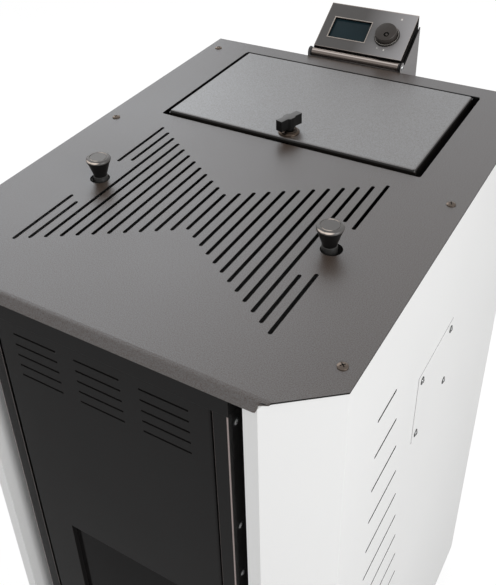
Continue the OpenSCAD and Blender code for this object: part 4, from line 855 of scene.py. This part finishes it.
def pull_knob(node, play):
    """A flared knob with a rolled shoulder, standing loose in its hole, a little towards the middle."""
    centre = middle(node)
    base = Vector((centre.x + play * MM, centre.y, plate_top()))
    top, shoulder, waist, foot = 33.4, 29.8, 6.0, -5.9
    rim_r = 12.9
    profile = [(0, top), (11.0, top), (11.3, top - 0.7), (11.9, top - 0.7), (12.2, top), (rim_r, top)]
    profile += list(arc((rim_r, shoulder), top - shoulder, 90, -22, 9))
    profile += [(14.2, 24.0), (11.9, 16.5), (10.1, 11.0), (9.1, 7.4), (8.9, waist), (9.6, waist - 0.6),
                (9.9, 1.0), (9.7, 0.6), (9.7, foot), (0, foot)]
    bm = turned(profile, Matrix.Translation(base))
    # Top faces take the paler top finish, painted light with a painted highlight on the rim; faces below the waist
    # take the collar's finish
    for face in bm.faces:
        height = (face.calc_center_median().z - base.z) / MM
        face.material_index = 1 if height > shoulder - 0.6 else 2 if height < waist else 0
    dressed(node, node.replace("_knob", "_pull_knob"), bm, sharp=24, more=["knob_top_painted_light", "knob_collar"])


def wing_handle():
    """The lid lock's wing: two broad offset arms on a round hub, clear of the ring below them."""
    centre = JOINTS["lid_lock_turn"]["pos_m"]
    base = Vector((centre[0], centre[1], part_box("lid_lock_ring")[1].z + 0.3 * MM))
    tip, underside, top = 20.4, 4.6, 21.0
    outline = [(-tip, -5.8), (-7.5, -5.2), (-4.5, -8.2), (3.5, -8.2), (8.5, -5.6), (tip, -5.8)]
    outline += [(-x, -y) for x, y in outline]
    arms = slab(outline, underside, top)
    round_edges(arms, sharp_edges(arms, 0.5), 0.7)
    hub_top = top - 2
    profile = [(0, 0.2), (6.2, 0.2), (7.0, 1.0), (7.2, 4.0), (7.2, hub_top - 1), (6.4, hub_top), (0, hub_top)]
    hub = turned(profile, steps=48)
    shaft = rod(4.4, -22, 2, steps=32)
    whole = joined([arms, hub, shaft])
    # Upward faces take the paler top finish: painted light
    for face in whole.faces:
        face.material_index = 1 if face.normal.z > 0.8 else 0
    place = Matrix.Translation(base) @ Matrix.Rotation(WING_TURN, 4, "Z")
    bmesh.ops.transform(whole, matrix=place, verts=whole.verts)
    dressed("lid_lock_knob", "lid_lock_wing", whole, sharp=30, more=["wing_top_painted_light"])


def lock_ring():
    """The stepped ring under the wing, with a rolled outer edge and a raised lip round its bore."""
    centre = middle("lid_lock_ring")
    base = Vector((centre.x, centre.y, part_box("lid_lock_ring")[0].z))
    bore, outer = 5.6, 15.5
    profile = [(bore, 0), (outer, 0), (outer, 1.3)]
    profile += list(arc((outer - 0.8, 1.5), 0.8, 0, 60, 3))
    profile += [(13.4, 3.6), (12.9, 3.95), (12.2, 4.0), (11.4, 3.3), (9.6, 3.2), (8.9, 3.9), (bore, 3.9),
                (bore, 0)]
    dressed("lid_lock_ring", "lid_lock_rosette", turned(profile, Matrix.Translation(base)))


def turning_knob():
    """The console's dial in its shallow cup, with an off-centre finger dimple."""
    seat = Vector(JOINTS["dial_turn"]["pos_m"])
    place = along(FACE_NORMAL, face_place(seat.x, up_slope(seat)))
    low, top, side_r = 2.8, 14.7, 17.9
    profile = [(0, low), (side_r - 0.7, low), (side_r, low + 0.7), (side_r, top - 2.7)]
    profile += list(arc((side_r - 2, top - 2.2), 2.0, 0, 78, 5)) + [(0, top)]
    pit_r, pit_depth = 5.0, 2.4
    pit_place = Vector((3.2, -5.6, top)) * MM
    pit_form = [(0, 1), (pit_r, 1), (pit_r - 0.5, -pit_depth), (0, -pit_depth)]
    cap = subtracted(turned(profile), turned(pit_form, Matrix.Translation(pit_place), 40))
    # Faces inside the finger dimple get painted shade
    for face in cap.faces:
        offset = face.calc_center_median() - pit_place
        if offset.z < -0.1 * MM and offset.xy.length < pit_r * MM:
            face.material_index = 1
    pip_form = [(0, -pit_depth - 0.1), (2.6, -pit_depth - 0.1)] + list(arc((0, -1.9), 2.5, 0, 90, 5))
    pip = turned(pip_form, Matrix.Translation(pit_place), 32)
    stem = turned([(0, -9.9), (2.7, -9.9), (2.95, -9.6), (2.95, low + 0.1), (0, low + 0.1)], steps=32)
    whole = joined([cap, pip, stem])
    bmesh.ops.transform(whole, matrix=place, verts=whole.verts)
    dressed("dial_knob", "dial_turning_knob", whole, sharp=40, more=["shadowed_cut_edge"])
    bore = 3.06
    cup = [(bore, -1.95), (3.95, -1.95), (4.0, 0.05), (21.4, 0.05), (21.5, 1.2), (20.9, 2.6), (20.1, 3.9),
           (19.3, 4.0), (18.85, 3.6), (18.8, 1.6), (bore, 1.5), (bore, -1.95)]
    dressed("dial_base", "dial_cup", turned(cup, place))


def display():
    """The display's thin raised bezel, with the pane sunk behind it."""
    low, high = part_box("display_glass")
    width, rim, lip = (high.x - low.x) / MM - 2, 1.2, 0.55
    sunk, pane_thickness = 3.6, 1.9
    turn = along(FACE_NORMAL, face_place((low.x + high.x) / 2, DISPLAY_UP + DISPLAY_HEIGHT / 2))
    bm = bmesh.new()
    bmesh.ops.create_grid(bm, x_segments=1, y_segments=1, size=0.5)
    bmesh.ops.scale(bm, vec=((width + 2 * rim) * MM, (DISPLAY_HEIGHT + 2 * rim) * MM, 1), verts=bm.verts)
    bmesh.ops.inset_region(bm, faces=bm.faces[:], thickness=rim * MM, use_even_offset=True, use_boundary=True)
    inner = [face for face in bm.faces if all(abs(v.co.x) < (width / 2 + 0.1) * MM for v in face.verts)]
    bmesh.ops.delete(bm, geom=inner, context="FACES")
    raise_faces(bm, bm.faces[:], lip)
    round_edges(bm, sharp_edges(bm, 1), 0.2, segments=2)
    bmesh.ops.transform(bm, matrix=turn, verts=bm.verts)
    piece("display_bezel", bm, "console", "bar", FINISHES["display_bezel_coat"])
    back = Matrix.Translation((0, 0, -(sunk + pane_thickness / 2) * MM))
    pane = block((width + 2, DISPLAY_HEIGHT + 2, pane_thickness), turn @ back, 0.3)
    dressed("display_glass", "display_pane", pane)


def status_lamp():
    """The low domed lens of the status light."""
    lamp = middle("status_light")
    place = along(FACE_NORMAL, face_place(lamp.x, up_slope(lamp))) @ Matrix.Diagonal((1, 1, 0.8, 1))
    profile = [(0, -1.9), (1.55, -1.9), (1.55, 0)] + list(arc((0, 0), 1.5, 20, 90, 5))
    dressed("status_light", "status_light_lens", turned(profile, place, 24))


def console_shade_skirts():
    """Black plates that close the gaps beside the housing, under its flanges: painted shade where the gaps would
    show through.
    """
    low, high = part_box("display_housing")
    thickness, reach, drop, below = 1.8, 76, 12, 10
    for name, x in (("left", low.x + 1 * MM), ("right", high.x - 1 * MM)):
        place = Matrix.Translation(face_place(x, reach / 2 + 1, -below - drop / 2)) @ FACE_SLOPE
        skirt = block((thickness, reach, drop), place, 0.3)
        nylon_piece("console_" + name + "_shade_skirt", [skirt], "console")


def light_marks():
    """Two blank light marks below the dial."""
    dial_x = JOINTS["dial_turn"]["pos_m"][0]
    thickness = 0.06
    marks = []
    for side, up, radius in ((-8.5, 15.5, 0.9), (3.5, 14.0, 1.5)):
        profile = [(0, 0), (radius, 0), (radius - 0.1, thickness), (0, thickness)]
        marks.append(turned(profile, along(FACE_NORMAL, face_place(dial_x + side * MM, up)), 20))
    piece("console_light_marks", joined(marks), "console", "led", FINISHES["light_lens"])


def sleeve(bore, rim, radius, start, end):
    """Profile of a tube whose ends narrow from its radius to its rim over half a millimetre."""
    return [(bore, start), (rim, start), (radius, start + 0.5), (radius, end - 0.5), (rim, end), (bore, end),
            (bore, start)]


def tilt_bar():
    """The bar that the console tilts on, with dark end caps and the two arms to the housing."""
    low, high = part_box("hinge_bar")
    length = (high.x - low.x) / MM
    bore, cap = 2.56, 3
    arm_in, arm_below, arm_width, arm_thickness = 24.5, 10.5, 20, 2.8
    place = along(AXIS_X, Vector((low.x, BAR_AXIS.y, BAR_AXIS.z)))
    whole = [turned(sleeve(bore, 6.4, 6.95, cap, length - cap), place)]
    spot = BAR_AXIS + FACE_UP * (FACE_START / 2) + FACE_NORMAL * (FACE_LEVEL - arm_below * MM)
    for x in (low.x + arm_in * MM, high.x - arm_in * MM):
        turn = Matrix.Translation((x, spot.y, spot.z)) @ FACE_SLOPE
        whole.append(block((arm_width, FACE_START / MM - 0.4, arm_thickness), turn, 0.4))
    dressed("hinge_bar", "console_tilt_bar", joined(whole))
    ends = ((0.1, cap - 0.1), (length - cap + 0.1, length - 0.1))
    caps = [turned(sleeve(bore, 6.5, 7.0, start, end), place) for start, end in ends]
    nylon_piece("tilt_bar_caps", caps, "console")


def casing_fasteners():
    """Cross-recessed screws of the casing, the top plate and the console's pivots."""
    first_twist, next_twist, shank_r = 0.7, 1.1, 2.4
    for node, (diameter, height, shank) in SCREWS.items():
        screws = []
        for index, (seat, axis) in enumerate(screw_places(node)):
            twist = first_twist + index * next_twist
            screws.append(cross_recess_screw(diameter, height, along(axis, seat, twist)))
            if shank:
                screws.append(rod(shank_r, -shank, 0.02, along(axis, seat)))
        dressed(node, node + "_turned", joined(screws), sharp=30, more=["shadowed_cut_edge"])
    # Dark rings under the casing screws' heads
    profile = [(4.3, 0.02), (5.6, 0.02), (5.8, 0.3), (5.5, 0.7), (4.3, 0.9), (4.3, 0.02)]
    dark_rings = [turned(profile, along(axis, seat), 40) for seat, axis in screw_places("casing_screws")]
    nylon_piece("casing_screw_dark_rings", dark_rings, BODY_OF["casing_screws"])


def islands(bm):
    """The places of the vertices of each loose form in a bmesh."""
    todo = set(bm.verts)
    while todo:
        found, queue = [], [next(iter(todo))]
        while queue:
            vert = queue.pop()
            if vert in todo:
                todo.discard(vert)
                found.append(vert.co.copy())
                queue.extend(edge.other_vert(vert) for edge in vert.link_edges)
        yield found


def screw_places(node):
    """Where each screw of a node stands: the middle of its seat and its outward axis."""
    bm = merged_copy(node)
    height = SCREWS[node][1] * MM
    halfway = 0 if node == "casing_screws" else middle("hinge_bar").x
    places = []
    for island in islands(bm):
        low, high = (Vector([pick(co[i] for co in island) for i in range(3)]) for pick in (min, max))
        centre = (low + high) / 2
        if node == "top_screws":
            places.append((Vector((centre.x, centre.y, high.z - height)), AXIS_Z))
        else:
            outward = 1 if centre.x > halfway else -1
            tip = high.x if outward > 0 else low.x
            places.append((Vector((tip - outward * height, centre.y, centre.z)), AXIS_X * outward))
    bm.free()
    return sorted(places, key=lambda item: tuple(item[0]))


def levelling_feet():
    """Feet with a rubber-edged pad, a lock nut and a threaded stud."""
    thread_start, pitch, plain_end = 20.0, 1.5, 2.4
    for node in ("foot_front_left", "foot_front_right", "foot_rear_left", "foot_rear_right"):
        centre = middle(node)
        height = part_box(node)[1].z / MM
        profile = [(0, 0.05), (19.6, 0.05), (20.6, 0.6), (21.9, 2.4), (21.9, 6.6), (21.2, 7.4), (14.4, 11.6),
                   (13.4, 12.0), (9.0, 12.2), (9.0, 19.7), (8.6, 20), (4.9, 20)]
        z = thread_start
        while z < height - plain_end:
            profile += [(4.95, z + 0.4), (4.35, z + 1.1)]
            z += pitch
        profile += [(4.3, height - 1), (3.6, height), (0, height)]
        place = Matrix.Translation((centre.x, centre.y, 0))
        dressed(node, node + "_turned", turned(profile, place, 48))


def capsule(radius, length):
    """Profile of a bar with round ends, from 0 to its length."""
    return list(arc((0, 0), radius, -90, 0, 6)) + list(arc((0, length), radius, 0, 90, 6))


def door_bar_handle():
    """The door's bar with round ends, on a spindle through a turned collar."""
    low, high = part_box("door_handle")
    x, _, z = JOINTS["door_latch_turn"]["pos_m"]
    bar_r = 6
    bar_y = low.y + bar_r * MM
    length, reach = (high.z - low.z) / MM - 2 * bar_r, (high.y - bar_y) / MM
    bar = turned(capsule(bar_r, length), along(AXIS_Z, Vector((x, bar_y, z - length * MM))))
    spindle = rod(5.0, 0, reach, along(AXIS_Y, Vector((x, bar_y, z))), steps=40)
    collar = turned([(5, 0), (9.6, 0), (10.9, 1.0), (10.9, 3.6), (5, 3.6)],
                    along(AXIS_Y, Vector((x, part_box("front_door")[0].y - 4 * MM, z))), 48)
    dressed("door_handle", "door_bar_handle", joined([bar, spindle, collar]))


def drawer_bar_handle():
    """The ash drawer's bar with round ends, on two flared posts."""
    low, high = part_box("drawer_handle")
    bar_r, post_out = 6, 60
    start = Vector((low.x + bar_r * MM, low.y + bar_r * MM, (low.z + high.z) / 2))
    bar = turned(capsule(bar_r, (high.x - low.x) / MM - 2 * bar_r), along(AXIS_X, start))
    reach = (high.y - start.y) / MM
    profile = [(0, 0), (4.4, 0), (4.4, reach - 3), (6.8, reach - 1.6), (7.2, reach), (0, reach)]
    posts = []
    for side in (-post_out, post_out):
        foot = Vector(((low.x + high.x) / 2 + side * MM, start.y, start.z))
        posts.append(turned(profile, along(AXIS_Y, foot), 40))
    dressed("drawer_handle", "drawer_bar_handle", joined([bar] + posts))


def rope_seal():
    """The door's round braided rope, bent round the window's corners."""
    low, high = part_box("door_seal")
    inset, bend, half_width = 6 * MM, 10 * MM, 5.4 * MM
    half_depth = (high.y - low.y) / 2 * 0.98
    y = (low.y + high.y) / 2
    left, right = low.x + inset + bend, high.x - inset - bend
    bottom, top = low.z + inset + bend, high.z - inset - bend
    path = []
    for x, z, start in ((right, top, 0), (left, top, 90), (left, bottom, 180), (right, bottom, 270)):
        for angle in range(start, start + 91, 15):
            a = math.radians(angle)
            path.append(Vector((x + bend * math.cos(a), y, z + bend * math.sin(a))))
    bm = bmesh.new()
    rings = []
    for i, point in enumerate(path):
        forward = (path[(i + 1) % len(path)] - path[i - 1]).normalized()
        side = forward.cross(AXIS_Y).normalized()
        axes = Matrix((side * half_width, AXIS_Y * half_depth, forward)).transposed().to_4x4()
        ring = bmesh.ops.create_circle(bm, segments=16, radius=1, cap_ends=False,
                                       matrix=Matrix.Translation(point) @ axes)["verts"]
        rings.append(list({edge for vert in ring for edge in vert.link_edges}))
    for ring, following in zip(rings, rings[1:] + rings[:1]):
        bmesh.ops.bridge_loops(bm, edges=ring + following)
    dressed("door_seal", "door_rope_seal", bm, sharp=60)


def pipe_ports():
    """Brass pipes that end in hexagon unions behind the back panel."""
    obj = dressed("water_pipes", "water_pipes_finished", merged_copy("water_pipes"), sharp=28)
    broken_edges(obj, 0.5, "ANGLE").angle_limit = math.radians(40)


def flue_spigot(node, radius, ring):
    """A sheet spigot with a rolled bead near its end and a cover ring against the back panel."""
    low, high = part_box(node)
    length = (high.y - low.y) / MM
    wall = (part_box("back_panel")[1].y - low.y) / MM
    inner, skin, ring_r = radius - 1.5, radius - 0.1, radius + ring
    bead_start, bead_depth = length - 16, 0.9
    profile = [(inner, 0), (skin, 0), (skin, wall + 0.1), (ring_r - 1.2, wall + 0.1),
               (ring_r - 0.2, wall + 1.2), (ring_r - 1.6, wall + 2.4), (radius + 1.5, wall + 2.9),
               (skin, wall + 2.9), (skin, bead_start)]
    for angle in range(0, 181, 30):
        profile.append((skin - bead_depth * math.sin(math.radians(angle)), bead_start + angle / 30))
    profile += [(skin, length - 1), (radius - 0.6, length), (inner, length), (inner, 0)]
    start = Vector(((low.x + high.x) / 2, low.y, (low.z + high.z) / 2))
    dressed(node, node + "_spigot", turned(profile, along(AXIS_Y, start), 96))


# Light and camera
def soft_area(name, place, aim, size, power):
    light = bpy.data.lights.new(name, "AREA")
    light.shape = "SQUARE"
    light.size = size
    light.energy = power
    obj = placed_object(name, light)
    obj.location = place
    obj.rotation_euler = (Vector(aim) - Vector(place)).to_track_quat("-Z", "Y").to_euler()


def brightness_by_ray(tree, lit, mirrored, shown):
    """How bright the surroundings are: as light, in glossy or clear surfaces, and to the camera."""
    path = add(tree, "ShaderNodeLightPath").outputs
    soft = math_node(tree, "MAXIMUM", path["Is Glossy Ray"], path["Is Transmission Ray"])
    value = math_node(tree, "MULTIPLY", soft, mirrored - lit)
    value = math_node(tree, "ADD", value, math_node(tree, "MULTIPLY", path["Is Camera Ray"], shown - lit))
    return math_node(tree, "ADD", value, lit)


def studio():
    """White surroundings, a pale floor that keeps the shadow, and three large soft lights."""
    white, pale = (1.0, 1.0, 1.0, 1), (0.80, 0.80, 0.80, 1)
    world = bpy.data.worlds.new("studio")
    bpy.context.scene.world = world
    tree = bare_tree(world)
    strength = brightness_by_ray(tree, lit=0.65, mirrored=0.57, shown=0.99)
    sky = add(tree, "ShaderNodeBackground", {"Strength": strength, "Color": white})
    add(tree, "ShaderNodeOutputWorld", {"Surface": sky.outputs[0]})

    bm = bmesh.new()
    floor_reach = 9
    bmesh.ops.create_grid(bm, x_segments=1, y_segments=1, size=floor_reach)
    floor = placed_object("floor", mesh_from("floor", bm))
    paper = bpy.data.materials.new("floor_paper")
    tree = bare_tree(paper)
    matt = add(tree, "ShaderNodeBsdfDiffuse", {"Color": pale})
    glow_strength = brightness_by_ray(tree, lit=0.0, mirrored=0.22, shown=1.07)
    glow = add(tree, "ShaderNodeEmission", {"Color": white, "Strength": glow_strength})
    lift = brightness_by_ray(tree, lit=0.0, mirrored=0.8, shown=0.86)
    mix = add(tree, "ShaderNodeMixShader", {0: lift, 1: matt.outputs[0], 2: glow.outputs[0]})
    add(tree, "ShaderNodeOutputMaterial", {"Surface": mix.outputs[0]})
    floor.data.materials.append(paper)

    soft_area("key_light", place=(3.0, -0.9, 2.1), aim=(0, 0, 0.7), size=2.0, power=46)
    soft_area("rear_left_light", place=(-2.4, 1.8, 2.7), aim=(0, 0, 1.1), size=2.6, power=24)
    soft_area("rear_light", place=(-0.5, 3.2, 2.5), aim=(0, 0, 1.1), size=2.2, power=7)
    bpy.context.scene.view_settings.view_transform = "Standard"


def photo_camera():
    camera = bpy.data.cameras.new("camera")
    long_side = max(IMAGE_W, IMAGE_H)
    camera.sensor_width = SENSOR_MM
    camera.lens = FOCAL_PX / long_side * SENSOR_MM
    camera.shift_x = (IMAGE_W / 2 - PRINCIPAL_PX[0]) / long_side
    camera.shift_y = (PRINCIPAL_PX[1] - IMAGE_H / 2) / long_side
    camera.clip_start, camera.clip_end = 0.05, 60
    obj = placed_object("camera", camera)
    turn = Matrix.Rotation(CAMERA_HEADING, 4, "Z") @ Matrix.Rotation(CAMERA_TIP, 4, "X")
    obj.matrix_world = Matrix.Translation(CAMERA_PLACE) @ turn @ Matrix.Rotation(CAMERA_ROLL, 4, "Z")
    bpy.context.scene.camera = obj


photo_camera()
sheet_metal()
cover_shade_lines()
hatch_shade_strip()
pull_knob("left_cleaning_knob", LEFT_KNOB_PLAY)
pull_knob("right_cleaning_knob", RIGHT_KNOB_PLAY)
wing_handle()
lock_ring()
turning_knob()
display()
status_lamp()
console_shade_skirts()
light_marks()
tilt_bar()
casing_fasteners()
levelling_feet()
door_bar_handle()
drawer_bar_handle()
rope_seal()
pipe_ports()
flue_spigot("flue_outlet", radius=40.0, ring=7)
flue_spigot("air_intake", radius=25.0, ring=6)
small_parts()
plain_nodes()
studio()
